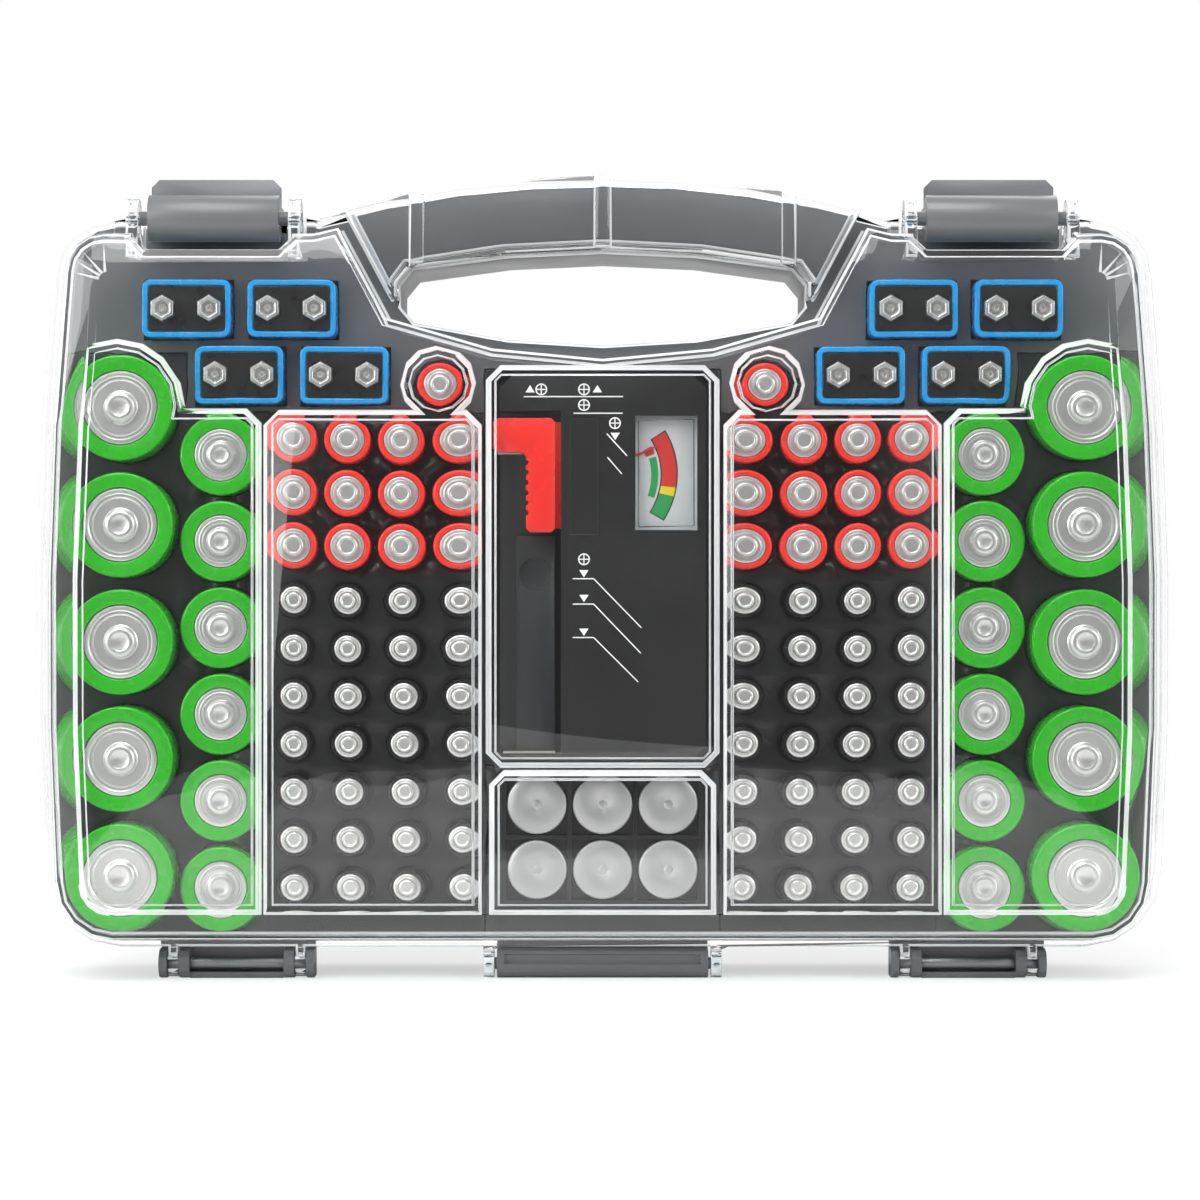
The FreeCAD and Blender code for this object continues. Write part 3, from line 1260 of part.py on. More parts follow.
def tester_arm():
    """The red sliding arm with finger notches, a tongue in the guide groove and a contact strip."""
    right = CHANNEL_X - size("arm_gap")
    top = CHANNEL_HIGH - size("arm_head")
    low = top - size("arm_length")
    front = TESTER_FRONT + size("arm_sink")
    shape = rounded(
        [
            (right - size("arm_width"), low),
            (right, low),
            (right, top),
            (right - size("arm_reach"), top),
            (right - size("arm_reach"), top - size("arm_foot")),
            (right - size("arm_width"), top - size("arm_foot")),
        ],
        size("arm_corner"),
    )
    body = prism("arm_plate", shape, front, "sizes.arm_depth")
    play = size("groove_depth") - size("arm_tongue")
    half = size("groove_width") / 2 - play
    tongue = block(
        "arm_tongue",
        (right - size("arm_corner"), GROOVE_Y - half, low + size("arm_corner")),
        (CHANNEL_X + size("arm_tongue"), GROOVE_Y + half, top - size("arm_corner")),
    )
    first = top - size("arm_foot") - size("notch_pitch")
    notches = []
    for step in range(COUNTS["notches"]):
        spot = (right - size("arm_width"), front - size("overrun"), first - step * size("notch_pitch"))
        notches.append(bar(f"arm_notch_{step}", spot, THROUGH, "sizes.notch_radius", "Y", HEX_SIDES))
    keep(without("arm_solid", joined("arm_parts", [body, tongue]), notches), "tester_arm")
    strip_low = top - size("arm_foot") - size("contact")
    strip = block(
        "arm_strip",
        (right - size("arm_reach") + size("arm_corner"), front + size("contact"), strip_low),
        (right - size("arm_width") - size("arm_corner"), front + size("arm_depth") - size("contact"),
         top - size("arm_foot")),
    )
    keep(strip, "arm_contact")


def tester_rail():
    """The black rail on the channel floor with its round recess, and the contact below it."""
    right = CHANNEL_X - size("arm_gap")
    low = CHANNEL_LOW
    front = CHANNEL_FLOOR - size("rail_depth")
    high = low + size("rail_length")
    strip = block("rail_bar", (right - size("rail_width"), front, low), (right, CHANNEL_FLOOR, high))
    x = right - size("rail_width") / 2
    z = high - size("rail_width")
    recess = bar("rail_recess", (x, front - size("overrun"), z), size("overrun") + size("rail_bore_depth"),
                 "sizes.rail_bore", "Y", LARGE_SIDES)
    keep(without("rail_solid", strip, recess), "tester_rail")
    left = -size("tester_half") + size("arm_corner")
    strip = block(
        "base_strip",
        (left, TESTER_FRONT + size("contact"), low),
        (right, front - size("contact") / 2, low + size("contact")),
    )
    keep(strip, "tester_base_contact")


def meter():
    """The clear meter window with its lip, the dial, the moving coil block and the needle."""
    wall = size("meter_wall")
    lip = size("meter_lip")
    front = TESTER_FRONT - size("meter_rise")
    back = TESTER_FRONT + size("tester_wall") + lip
    cap = block("window_cap", (METER_LOW_X, front, METER_LOW), (METER_HIGH_X, back, METER_TOP))
    edge = block(
        "window_lip",
        (METER_LOW_X - lip, back - lip, METER_LOW - lip),
        (METER_HIGH_X + lip / 2, back, METER_TOP + lip),
    )
    room = block("window_room", (METER_LOW_X + wall, front + wall, METER_LOW + wall),
                 (METER_HIGH_X - wall, back + lip, METER_TOP - wall))
    keep(without("window_solid", joined("window_parts", [cap, edge]), room), "meter_window")
    dial_front = TESTER_FRONT + size("dial_gap")
    movement_right = CASING_X + size("movement_width")
    dial = block(
        "dial_plate",
        (movement_right - wall, dial_front, METER_LOW - lip),
        (size("tester_half") - size("tester_wall"), MOVEMENT_FRONT, METER_TOP + lip),
    )
    keep(dial, "meter_dial")
    half = size("movement_height") / 2
    coil = block(
        "movement_block",
        (CASING_X, MOVEMENT_FRONT, NEEDLE_Z - half),
        (movement_right, MOVEMENT_FRONT + size("movement_depth"), NEEDLE_Z + half),
    )
    bore = bar("movement_bore", (NEEDLE_X, MOVEMENT_FRONT - size("overrun"), NEEDLE_Z),
               size("overrun") + size("shaft_length") + size("needle_gap"),
               clear_radius(size("shaft_radius") + size("shaft_play"), HEX_SIDES), "Y", HEX_SIDES)
    keep(without("movement_solid", coil, bore), "meter_movement")


def needle():
    """The needle on its hub and shaft, with a counterweight tail, at its resting angle."""
    reach, tail = size("needle_reach"), size("needle_tail")
    half = size("needle_width") / 2
    thickness = size("needle_thickness")
    lean = math.radians(NEEDLE_REST_DEGREES)

    def spot(along, across):
        x = NEEDLE_X + along * math.cos(lean) - across * math.sin(lean)
        return x, NEEDLE_Z + along * math.sin(lean) + across * math.cos(lean)

    low_edge = [(-tail, -half), (0, -half), (reach, -thickness / 2)]
    high_edge = [(reach, thickness / 2), (0, half), (-tail, half)]
    outline = corner_outline([spot(*corner) for corner in low_edge + high_edge])
    pivot = (NEEDLE_X, NEEDLE_FRONT, NEEDLE_Z)
    weight_x, weight_z = spot(-tail, 0)
    weight = (weight_x, NEEDLE_FRONT, weight_z)
    hub_length = MOVEMENT_FRONT - size("needle_gap") - NEEDLE_FRONT
    shaft_length = MOVEMENT_FRONT + size("shaft_length") - NEEDLE_FRONT
    solids = [
        prism("needle_blade", outline, NEEDLE_FRONT, thickness),
        bar("needle_hub", pivot, hub_length, "sizes.hub_radius", "Y", SMALL_SIDES),
        rod("needle_shaft", pivot, shaft_length, "sizes.shaft_radius", "Y"),
        bar("needle_weight", weight, thickness, "sizes.hub_radius", "Y", SMALL_SIDES),
    ]
    keep(joined("needle_solid", solids), "meter_needle")


tray()
for hand in (-1, 1):
    large_deck(hand)
    small_deck(hand)
    latch(hand)
tester_bay()
coin_tray()
hinge_pins()
cells()
nine_volt_cells()
lid()
tester_front()
tester_back()
tester_arm()
tester_rail()
meter()
needle()
doc.recompute()

for item in doc.Objects:
    if "Invalid" in item.State or "Error" in item.State:
        raise RuntimeError(f"{item.Name} is not up to date: {item.State}")
for node, item in NODES.items():
    shape = item.Shape
    if shape.isNull() or not shape.isValid() or not shape.Solids:
        raise RuntimeError(f"{node} has no valid solid")

os.makedirs("parts", exist_ok=True)
for node, item in NODES.items():
    item.Shape.exportStep(f"parts/{node}.step")
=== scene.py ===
"""Battery storage case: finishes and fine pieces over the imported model.

Everything is in metres in the model's own frame: +X to the right of someone facing the lid, +Y from the
lid to the back, +Z up. Sizes in the classes below are in millimetres, apart from those of the studio, and are
turned to metres where they are used.
"""

import logging
import math
from dataclasses import dataclass, field
from enum import Enum
from typing import Callable, Iterable, Optional, Protocol, Sequence

import bpy
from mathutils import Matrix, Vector


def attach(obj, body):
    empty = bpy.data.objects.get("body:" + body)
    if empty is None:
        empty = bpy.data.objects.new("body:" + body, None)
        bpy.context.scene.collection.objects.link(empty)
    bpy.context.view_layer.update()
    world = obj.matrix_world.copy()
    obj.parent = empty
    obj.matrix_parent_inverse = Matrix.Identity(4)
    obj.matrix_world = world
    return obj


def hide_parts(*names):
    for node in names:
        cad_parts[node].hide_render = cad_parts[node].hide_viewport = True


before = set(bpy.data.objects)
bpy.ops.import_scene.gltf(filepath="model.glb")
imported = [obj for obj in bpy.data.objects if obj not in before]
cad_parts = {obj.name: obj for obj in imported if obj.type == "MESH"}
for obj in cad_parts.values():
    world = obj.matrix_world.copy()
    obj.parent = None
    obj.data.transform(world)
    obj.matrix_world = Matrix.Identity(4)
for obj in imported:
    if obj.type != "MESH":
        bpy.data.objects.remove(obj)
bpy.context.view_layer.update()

log = logging.getLogger("battery_case")
MM = 0.001
Ring = tuple[float, float]  # radius and depth of one ring of a turned piece
Spot = tuple[float, float]  # X and Z of a place on the front of the case


class Sides(Enum):
    """The two halves of the case, as the sign of X."""

    LEFT = -1
    RIGHT = 1


# ---------------------------------------------------------------- finishes


def linear(hex_colour: str, alpha: float = 1.0) -> tuple[float, float, float, float]:
    """Turns an sRGB hex colour to the linear values that a shader takes.

    Args:
        hex_colour: six hex digits, such as "2fb41f".
        alpha: the fourth value.

    Returns:
        Red, green, blue and alpha.
    """
    parts = [int(hex_colour[k : k + 2], 16) / 255 for k in (0, 2, 4)]
    parts = [v / 12.92 if v <= 0.04045 else ((v + 0.055) / 1.055) ** 2.4 for v in parts]
    return parts[0], parts[1], parts[2], alpha


def add_node(
    tree: bpy.types.NodeTree,
    kind: str,
    inputs: Optional[dict] = None,
    links: Optional[dict] = None,
    **settings: object,
) -> bpy.types.Node:
    """Adds one shader node with its settings, socket values and incoming links.

    Args:
        tree: the node tree that the node goes into.
        kind: the node's type name.
        inputs: socket values by socket name or number.
        links: output sockets by the name or number of the socket that they reach.
        settings: attributes of the node itself.

    Returns:
        The new node.
    """
    node = tree.nodes.new(kind)
    for key, value in settings.items():
        setattr(node, key, value)
    for key, value in (inputs or {}).items():
        node.inputs[key].default_value = value
    for key, source in (links or {}).items():
        tree.links.new(source, node.inputs[key])
    return node


def blank(name: str) -> tuple[bpy.types.Material, bpy.types.NodeTree, bpy.types.NodeSocket]:
    """Starts a material with an output node and object coordinates only.

    Args:
        name: the material's name.

    Returns:
        The material, its node tree and the object coordinates.
    """
    material = bpy.data.materials.new(name)
    material.use_nodes = True
    tree = material.node_tree
    tree.nodes.clear()
    place = add_node(tree, "ShaderNodeTexCoord")
    return material, tree, place.outputs["Object"]


class Finish(Protocol):
    """What every finish of the case can do."""

    def material(self) -> bpy.types.Material:
        """Builds the material."""


@dataclass(frozen=True)
class MouldedPlastic:
    """Injection moulded ABS or polystyrene: an even skin with a fine spark-eroded grain.

    The grain breaks up highlights, and slow flow marks shift the colour a little across a large wall. Real
    grain is about 0.1 mm wide and is drawn several times as wide here, so that it shows.
    """

    name: str
    colour: str
    mark: str
    roughness: float = 0.42
    grain_mm: float = 0.6
    grain_depth: float = 0.02
    grain_strength: float = 0.2
    flow_mm: float = 38.0

    def material(self) -> bpy.types.Material:
        """Builds the material.

        Returns:
            The material with its nodes.
        """
        material, tree, place = blank(self.name)
        flow = add_node(
            tree,
            "ShaderNodeTexNoise",
            {"Scale": 1 / (self.flow_mm * MM), "Detail": 3.0, "Roughness": 0.55},
            {"Vector": place},
        )
        grain = add_node(
            tree,
            "ShaderNodeTexNoise",
            {"Scale": 1 / (self.grain_mm * MM), "Detail": 2.0, "Roughness": 0.6},
            {"Vector": place},
        )
        colour = add_node(
            tree,
            "ShaderNodeMix",
            {6: linear(self.colour), 7: linear(self.mark)},
            {0: flow.outputs["Fac"]},
            data_type="RGBA",
        )
        sheen = add_node(
            tree,
            "ShaderNodeMapRange",
            {
                "From Min": 0.3,
                "From Max": 0.7,
                "To Min": self.roughness - 0.05,
                "To Max": self.roughness + 0.07,
            },
            {"Value": flow.outputs["Fac"]},
        )
        bump = add_node(
            tree,
            "ShaderNodeBump",
            {"Strength": self.grain_strength, "Distance": self.grain_depth * MM},
            {"Height": grain.outputs["Fac"]},
        )
        shader = add_node(
            tree,
            "ShaderNodeBsdfPrincipled",
            {"IOR": 1.54},
            {
                "Base Color": colour.outputs[2],
                "Roughness": sheen.outputs["Result"],
                "Normal": bump.outputs["Normal"],
            },
        )
        add_node(tree, "ShaderNodeOutputMaterial", links={"Surface": shader.outputs["BSDF"]})
        return material


@dataclass(frozen=True)
class ShrinkSleeve:
    """Heat-shrunk PVC film: a bright gloss skin that tightens into faint ripples round the cell."""

    name: str
    colour: str
    shade: str
    roughness: float = 0.22
    ripple_mm: float = 3.5
    ripple_depth: float = 0.06

    def material(self) -> bpy.types.Material:
        """Builds the material.

        Returns:
            The material with its nodes.
        """
        material, tree, place = blank(self.name)
        ripple = add_node(
            tree,
            "ShaderNodeTexNoise",
            {"Scale": 1 / (self.ripple_mm * MM), "Detail": 3.0, "Roughness": 0.5},
            {"Vector": place},
        )
        colour = add_node(
            tree,
            "ShaderNodeMix",
            {6: linear(self.colour), 7: linear(self.shade)},
            {0: ripple.outputs["Fac"]},
            data_type="RGBA",
        )
        sheen = add_node(
            tree,
            "ShaderNodeMapRange",
            {
                "From Min": 0.3,
                "From Max": 0.7,
                "To Min": self.roughness - 0.05,
                "To Max": self.roughness + 0.1,
            },
            {"Value": ripple.outputs["Fac"]},
        )
        bump = add_node(
            tree,
            "ShaderNodeBump",
            {"Strength": 0.2, "Distance": self.ripple_depth * MM},
            {"Height": ripple.outputs["Fac"]},
        )
        shader = add_node(
            tree,
            "ShaderNodeBsdfPrincipled",
            {"IOR": 1.5, "Coat Weight": 0.15, "Coat Roughness": 0.06},
            {
                "Base Color": colour.outputs[2],
                "Roughness": sheen.outputs["Result"],
                "Normal": bump.outputs["Normal"],
            },
        )
        add_node(tree, "ShaderNodeOutputMaterial", links={"Surface": shader.outputs["BSDF"]})
        return material


@dataclass(frozen=True)
class PlatedSteel:
    """Nickel-plated deep-drawn steel: a pale satin metal with fine draw marks and rubbed spots.

    Real draw marks are some hundredths of a millimetre wide and are drawn about ten times as wide here.
    """

    name: str
    colour: str
    worn: str
    roughness: float = 0.2
    mark_mm: float = 0.5
    bump: float = 0.03
    mark_depth: float = 0.05
    spread: float = 0.05

    def material(self) -> bpy.types.Material:
        """Builds the material.

        Returns:
            The material with its nodes.
        """
        material, tree, place = blank(self.name)
        marks = add_node(
            tree,
            "ShaderNodeTexNoise",
            {"Scale": 1 / (self.mark_mm * MM), "Detail": 4.0, "Roughness": 0.65},
            {"Vector": place},
        )
        colour = add_node(
            tree,
            "ShaderNodeMix",
            {6: linear(self.colour), 7: linear(self.worn)},
            {0: marks.outputs["Fac"]},
            data_type="RGBA",
        )
        sheen = add_node(
            tree,
            "ShaderNodeMapRange",
            {
                "From Min": 0.3,
                "From Max": 0.7,
                "To Min": self.roughness,
                "To Max": self.roughness + self.spread,
            },
            {"Value": marks.outputs["Fac"]},
        )
        bump = add_node(
            tree,
            "ShaderNodeBump",
            {"Strength": self.bump, "Distance": self.mark_depth * MM},
            {"Height": marks.outputs["Fac"]},
        )
        shader = add_node(
            tree,
            "ShaderNodeBsdfPrincipled",
            {"Metallic": 1.0},
            {
                "Base Color": colour.outputs[2],
                "Roughness": sheen.outputs["Result"],
                "Normal": bump.outputs["Normal"],
            },
        )
        add_node(tree, "ShaderNodeOutputMaterial", links={"Surface": shader.outputs["BSDF"]})
        return material


@dataclass(frozen=True)
class ClearStyrene:
    """Clear moulded styrene: see-through, polished, bright where light runs along an edge.

    Its polish differs a little from place to place, and light passes it to the cells below.
    """

    name: str
    tint: str
    roughness: float = 0.0
    wave_mm: float = 26.0
    ior: float = 1.46

    def material(self) -> bpy.types.Material:
        """Builds the material.

        Returns:
            The material with its nodes.
        """
        material, tree, place = blank(self.name)
        wave = add_node(
            tree,
            "ShaderNodeTexNoise",
            {"Scale": 1 / (self.wave_mm * MM), "Detail": 1.5, "Roughness": 0.4},
            {"Vector": place},
        )
        sheen = add_node(
            tree,
            "ShaderNodeMapRange",
            {"From Min": 0.3, "From Max": 0.7, "To Min": self.roughness, "To Max": self.roughness + 0.02},
            {"Value": wave.outputs["Fac"]},
        )
        shader = add_node(
            tree,
            "ShaderNodeBsdfPrincipled",
            {"Base Color": linear(self.tint), "IOR": self.ior, "Transmission Weight": 1.0},
            {"Roughness": sheen.outputs["Result"]},
        )
        passing = add_node(tree, "ShaderNodeBsdfTransparent", {"Color": linear("f2f5f6")})
        path = add_node(tree, "ShaderNodeLightPath")
        both = add_node(
            tree,
            "ShaderNodeMixShader",
            links={0: path.outputs["Is Shadow Ray"], 1: shader.outputs["BSDF"], 2: passing.outputs["BSDF"]},
        )
        add_node(tree, "ShaderNodeOutputMaterial", links={"Surface": both.outputs["Shader"]})
        return material


@dataclass(frozen=True)
class PaintedEdgeHighlight:
    """Rounded edges of clear styrene as a painted highlight. Light that runs inside the sheet leaves it as a
    milky bright line, and a milky white colour on the narrow faces stands for that line.
    """

    name: str = "styrene, clear, bright moulded edge"
    glow_mm: float = 14.0

    def material(self) -> bpy.types.Material:
        """Builds the material.

        Returns:
            The material with its nodes.
        """
        material, tree, place = blank(self.name)
        cloud = add_node(
            tree, "ShaderNodeTexNoise", {"Scale": 1 / (self.glow_mm * MM), "Detail": 2.0}, {"Vector": place}
        )
        colour = add_node(
            tree,
            "ShaderNodeMix",
            {6: linear("ffffff"), 7: linear("dfe3e6")},
            {0: cloud.outputs["Fac"]},
            data_type="RGBA",
        )
        shader = add_node(
            tree,
            "ShaderNodeBsdfPrincipled",
            {"Roughness": 0.16, "IOR": 1.5, "Transmission Weight": 0.4},
            {"Base Color": colour.outputs[2]},
        )
        passing = add_node(tree, "ShaderNodeBsdfTransparent")
        path = add_node(tree, "ShaderNodeLightPath")
        both = add_node(
            tree,
            "ShaderNodeMixShader",
            links={0: path.outputs["Is Shadow Ray"], 1: shader.outputs["BSDF"], 2: passing.outputs["BSDF"]},
        )
        add_node(tree, "ShaderNodeOutputMaterial", links={"Surface": both.outputs["Shader"]})
        return material


@dataclass(frozen=True)
class PrintedInk:
    """Screen-printed ink: a thin flat film, slightly uneven where it took less ink."""

    name: str
    colour: str
    thin: str
    roughness: float = 0.5
    patch_mm: float = 1.6

    def material(self) -> bpy.types.Material:
        """Builds the material.

        Returns:
            The material with its nodes.
        """
        material, tree, place = blank(self.name)
        patch = add_node(
            tree,
            "ShaderNodeTexNoise",
            {"Scale": 1 / (self.patch_mm * MM), "Detail": 2.0},
            {"Vector": place},
        )
        colour = add_node(
            tree,
            "ShaderNodeMix",
            {6: linear(self.colour), 7: linear(self.thin)},
            {0: patch.outputs["Fac"]},
            data_type="RGBA",
        )
        shader = add_node(
            tree,
            "ShaderNodeBsdfPrincipled",
            {"IOR": 1.48, "Roughness": self.roughness},
            {"Base Color": colour.outputs[2]},
        )
        add_node(tree, "ShaderNodeOutputMaterial", links={"Surface": shader.outputs["BSDF"]})
        return material


@dataclass(frozen=True)
class StudioPaper:
    """Seamless white paper: nearly even white to the eye that still takes the soft shadow of the case.

    Its own glow is seen by the camera and through the lid only, and grows from near to far along Y.
    """

    name: str = "studio paper"
    fibre_mm: float = 1.111
    near: float = 0.55
    far: float = 1.0

    def material(self) -> bpy.types.Material:
        """Builds the material.

        Returns:
            The material with its nodes.
        """
        material, tree, place = blank(self.name)
        fibre = add_node(
            tree,
            "ShaderNodeTexNoise",
            {"Scale": 1 / (self.fibre_mm * MM), "Detail": 2.0},
            {"Vector": place},
        )
        colour = add_node(
            tree,
            "ShaderNodeMix",
            {6: linear("f4f4f4"), 7: linear("f9f9f9")},
            {0: fibre.outputs["Fac"]},
            data_type="RGBA",
        )
        paper = add_node(
            tree, "ShaderNodeBsdfPrincipled", {"Roughness": 0.9}, {"Base Color": colour.outputs[2]}
        )
        light = add_node(tree, "ShaderNodeEmission", {"Color": linear("ffffff"), "Strength": 1.0})
        path = add_node(tree, "ShaderNodeLightPath")
        seen = add_node(
            tree,
            "ShaderNodeMath",
            links={0: path.outputs["Is Camera Ray"], 1: path.outputs["Is Transmission Ray"]},
            operation="MAXIMUM",
        )
        parts = add_node(tree, "ShaderNodeSeparateXYZ", links={0: place})
        away = add_node(tree, "ShaderNodeMath", links={0: parts.outputs["Y"]}, operation="ABSOLUTE")
        glow = add_node(
            tree,
            "ShaderNodeMapRange",
            {"From Min": 0.1, "From Max": 0.9, "To Min": self.near, "To Max": self.far},
            {"Value": away.outputs[0]},
            interpolation_type="SMOOTHSTEP",
        )
        share = add_node(
            tree,
            "ShaderNodeMath",
            links={0: seen.outputs[0], 1: glow.outputs["Result"]},
            operation="MULTIPLY",
        )
        both = add_node(
            tree,
            "ShaderNodeMixShader",
            links={0: share.outputs[0], 1: paper.outputs["BSDF"], 2: light.outputs["Emission"]},
        )
        add_node(tree, "ShaderNodeOutputMaterial", links={"Surface": both.outputs["Shader"]})
        return material


@dataclass
class Finishes:
    """Every finish of the case, made once and handed out by name."""

    styles: dict[str, Finish] = field(
        default_factory=lambda: {
            "tray": MouldedPlastic("ABS, grey, spark grain", "5a5c5e", "525456", 0.36),
            # Painted shade: the charcoal and black polystyrene finishes are darker than the grey tray
            # plastic. They stand for the shade in the decks, trays, bay and well mouths sunk into the tray.
            "painted_shade_charcoal": MouldedPlastic("polystyrene, charcoal", "2a2b2d", "232426", 0.36),
            "black": MouldedPlastic("polystyrene, black", "131315", "0e0e10", 0.32),
            "latch": MouldedPlastic("ABS, latch grey, satin", "6a6c6f", "626467", 0.3, 0.5, 0.03),
            "tester": MouldedPlastic("ABS, tester black, satin", "121213", "0d0d0e", 0.34, 0.9, 0.008),
            "rail": MouldedPlastic("nylon, black, sliding rail", "1d1e20", "161719", 0.42),
            "arm": MouldedPlastic("ABS, signal red", "e8281f", "dc2018", 0.26, 0.6, 0.03),
            "block": MouldedPlastic("phenolic block, dark", "1a1a1b", "131314", 0.5),
            "resistor": MouldedPlastic("cement coating, tan", "bd9a6b", "a98858", 0.7, 0.4),
            "green": ShrinkSleeve("PVC shrink film, green", "25a915", "209a12"),
            "blue": ShrinkSleeve("PVC shrink film, blue", "0f93d6", "0c86c6"),
            "red": ShrinkSleeve("PVC shrink film, red", "ea2a1c", "dd2418"),
            "ebony": ShrinkSleeve("PVC shrink film, black", "0c0c0d", "151516", 0.18),
            "cap": ShrinkSleeve("phenolic end cap, black", "0b0b0b", "131313", 0.3),
            "nickel": PlatedSteel("nickel-plated steel, drawn", "e4e4e2", "dcdcda", 0.3, 0.5, 0.01),
            "stud": PlatedSteel("nickel-plated steel, turned stud", "dadad8", "d0d0ce", 0.26, 0.5, 0.01),
            "coin": PlatedSteel("nickel-plated steel, brushed can", "cbcbca", "c0c0c0", 0.42, 0.4, 0.02),
            "pin": PlatedSteel("drawn steel rod, grey", "8d8f92", "7b7d80", 0.4),
            "strip": PlatedSteel("nickel silver spring strip", "d6d2c6", "c2bdae", 0.3),
            "clear": ClearStyrene("styrene, clear, polished", "ffffff", 0.0),
            # Painted highlight: a milky white finish for the narrow faces of the lid's rounded edges.
            "painted_edge_highlight": PaintedEdgeHighlight(),
            "window": ClearStyrene("acrylic, clear, meter window", "ffffff", 0.02),
            "dial": PrintedInk("printed dial sheet, silver white", "dcdddd", "d2d3d3", 0.4),
            "white_ink": PrintedInk("screen ink, white", "f3f3f2", "e6e6e5"),
            "red_ink": PrintedInk("screen ink, red", "e32618", "d81f12"),
            "yellow_ink": PrintedInk("screen ink, yellow", "f4de12", "ecd40c"),
            "green_ink": PrintedInk("screen ink, green", "12a552", "0f9a4a"),
            "black_ink": PrintedInk("screen ink, black", "161616", "1f1f1f"),
            "needle": PrintedInk("enamel, red, needle", "cf1d12", "c3170d", 0.35),
        }
    )
    made: dict[str, bpy.types.Material] = field(default_factory=dict)

    def get(self, key: str) -> bpy.types.Material:
        """Gives a finish's material, built at its first use.

        Args:
            key: the finish's name among the styles.

        Returns:
            The material, the same one each time.
        """
        if key not in self.made:
            self.made[key] = self.styles[key].material()
        return self.made[key]


# ---------------------------------------------------------------- bench work


def clear_selection() -> None:
    """Leaves edit mode and deselects everything."""
    if bpy.context.object is not None and bpy.context.object.mode != "OBJECT":
        bpy.ops.object.mode_set(mode="OBJECT")
    bpy.ops.object.select_all(action="DESELECT")


def pick(piece: bpy.types.Object) -> None:
    """Makes one piece the selected and active one.

    Args:
        piece: the piece.
    """
    clear_selection()
    piece.select_set(True)
    bpy.context.view_layer.objects.active = piece


def settle(piece: bpy.types.Object) -> bpy.types.Object:
    """Moves a piece's place, turn and scale into its mesh.

    Args:
        piece: the piece.

    Returns:
        The same piece, at the origin.
    """
    pick(piece)
    bpy.ops.object.transform_apply(location=True, rotation=True, scale=True)
    return piece


def select_faces(piece: bpy.types.Object, test: Callable[[bpy.types.MeshPolygon], bool]) -> int:
    """Selects the faces of a piece that pass a test, and only those.

    Args:
        piece: the piece, in object mode.
        test: takes a face and says whether it is wanted.

    Returns:
        How many faces are selected.
    """
    mesh = piece.data
    mesh.vertices.foreach_set("select", [False] * len(mesh.vertices))
    mesh.edges.foreach_set("select", [False] * len(mesh.edges))
    wanted = [bool(test(face)) for face in mesh.polygons]
    mesh.polygons.foreach_set("select", wanted)
    return sum(wanted)


def soften(
    piece: bpy.types.Object, width_mm: float, segments: int = 2, angle: float = 30.0, apply: bool = True
) -> None:
    """Rounds a piece's sharp edges and shades it smooth between them.

    Args:
        piece: a new piece, or a CAD node with apply left False.
        width_mm: the width of the rounding.
        segments: steps in the rounding.
        angle: edges sharper than this many degrees are rounded.
        apply: True bakes the modifiers into the mesh.
    """
    weld = piece.modifiers.new("merge", "WELD")
    weld.merge_threshold = 1e-6
    bevel = piece.modifiers.new("edge", "BEVEL")
    bevel.width = width_mm * MM
    bevel.segments = segments
    bevel.limit_method = "ANGLE"
    bevel.angle_limit = math.radians(angle)
    bevel.harden_normals = True
    bevel.use_clamp_overlap = True
    pick(piece)
    bpy.ops.object.shade_smooth_by_angle(angle=math.radians(angle + 8))
    if apply:
        bpy.ops.object.modifier_apply(modifier="merge")
        bpy.ops.object.modifier_apply(modifier="edge")


def dress(piece: bpy.types.Object, material: bpy.types.Material) -> bpy.types.Object:
    """Gives a piece one material.

    Args:
        piece: the piece.
        material: the material.

    Returns:
        The same piece.
    """
    piece.data.materials.clear()
    piece.data.materials.append(material)
    return piece


def register(
    piece: bpy.types.Object, name: str, body: str, nodes: Sequence[str] = ()
) -> bpy.types.Object:
    """Names a finished piece and tells the frame what it rides on and stands for.

    Args:
        piece: the finished piece.
        name: its name.
        body: the moving body that it rides on.
        nodes: the CAD nodes that it stands for.

    Returns:
        The piece.
    """
    piece.name = name
    piece.data.name = name
    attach(piece, body)
    if nodes:
        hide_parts(*nodes)
    log.info("%s: %d faces on %s", name, len(piece.data.polygons), body)
    return piece


def turned(rings: Sequence[Ring], sides: int, at: Vector = Vector()) -> bpy.types.Object:
    """Turns a piece about an axis along Y: a circle is drawn out ring by ring, and both ends are closed.

    Args:
        rings: radius and depth of each ring in millimetres, from the back forward.
        sides: how many sides a ring has.
        at: the axis, in metres.

    Returns:
        The piece, with its place in its mesh.
    """
    clear_selection()
    radius, depth = rings[0]
    place = at + Vector((0, depth * MM, 0))
    bpy.ops.mesh.primitive_circle_add(
        vertices=sides, radius=radius * MM, fill_type="NGON", location=place, rotation=(math.pi / 2, 0, 0)
    )
    piece = settle(bpy.context.object)
    bpy.ops.object.mode_set(mode="EDIT")
    bpy.ops.mesh.select_mode(type="FACE")
    bpy.ops.mesh.select_all(action="SELECT")
    for wide, deep in rings[1:]:
        bpy.ops.mesh.extrude_region_move(TRANSFORM_OT_translate={"value": (0, (deep - depth) * MM, 0)})
        share = wide / radius
        if abs(share - 1) > 1e-6:
            bpy.ops.transform.resize(value=(share, 1, share), center_override=(at.x, at.y + deep * MM, at.z))
        radius, depth = wide, deep
    bpy.ops.mesh.select_all(action="SELECT")
    bpy.ops.mesh.normals_make_consistent(inside=False)
    bpy.ops.object.mode_set(mode="OBJECT")
    return piece


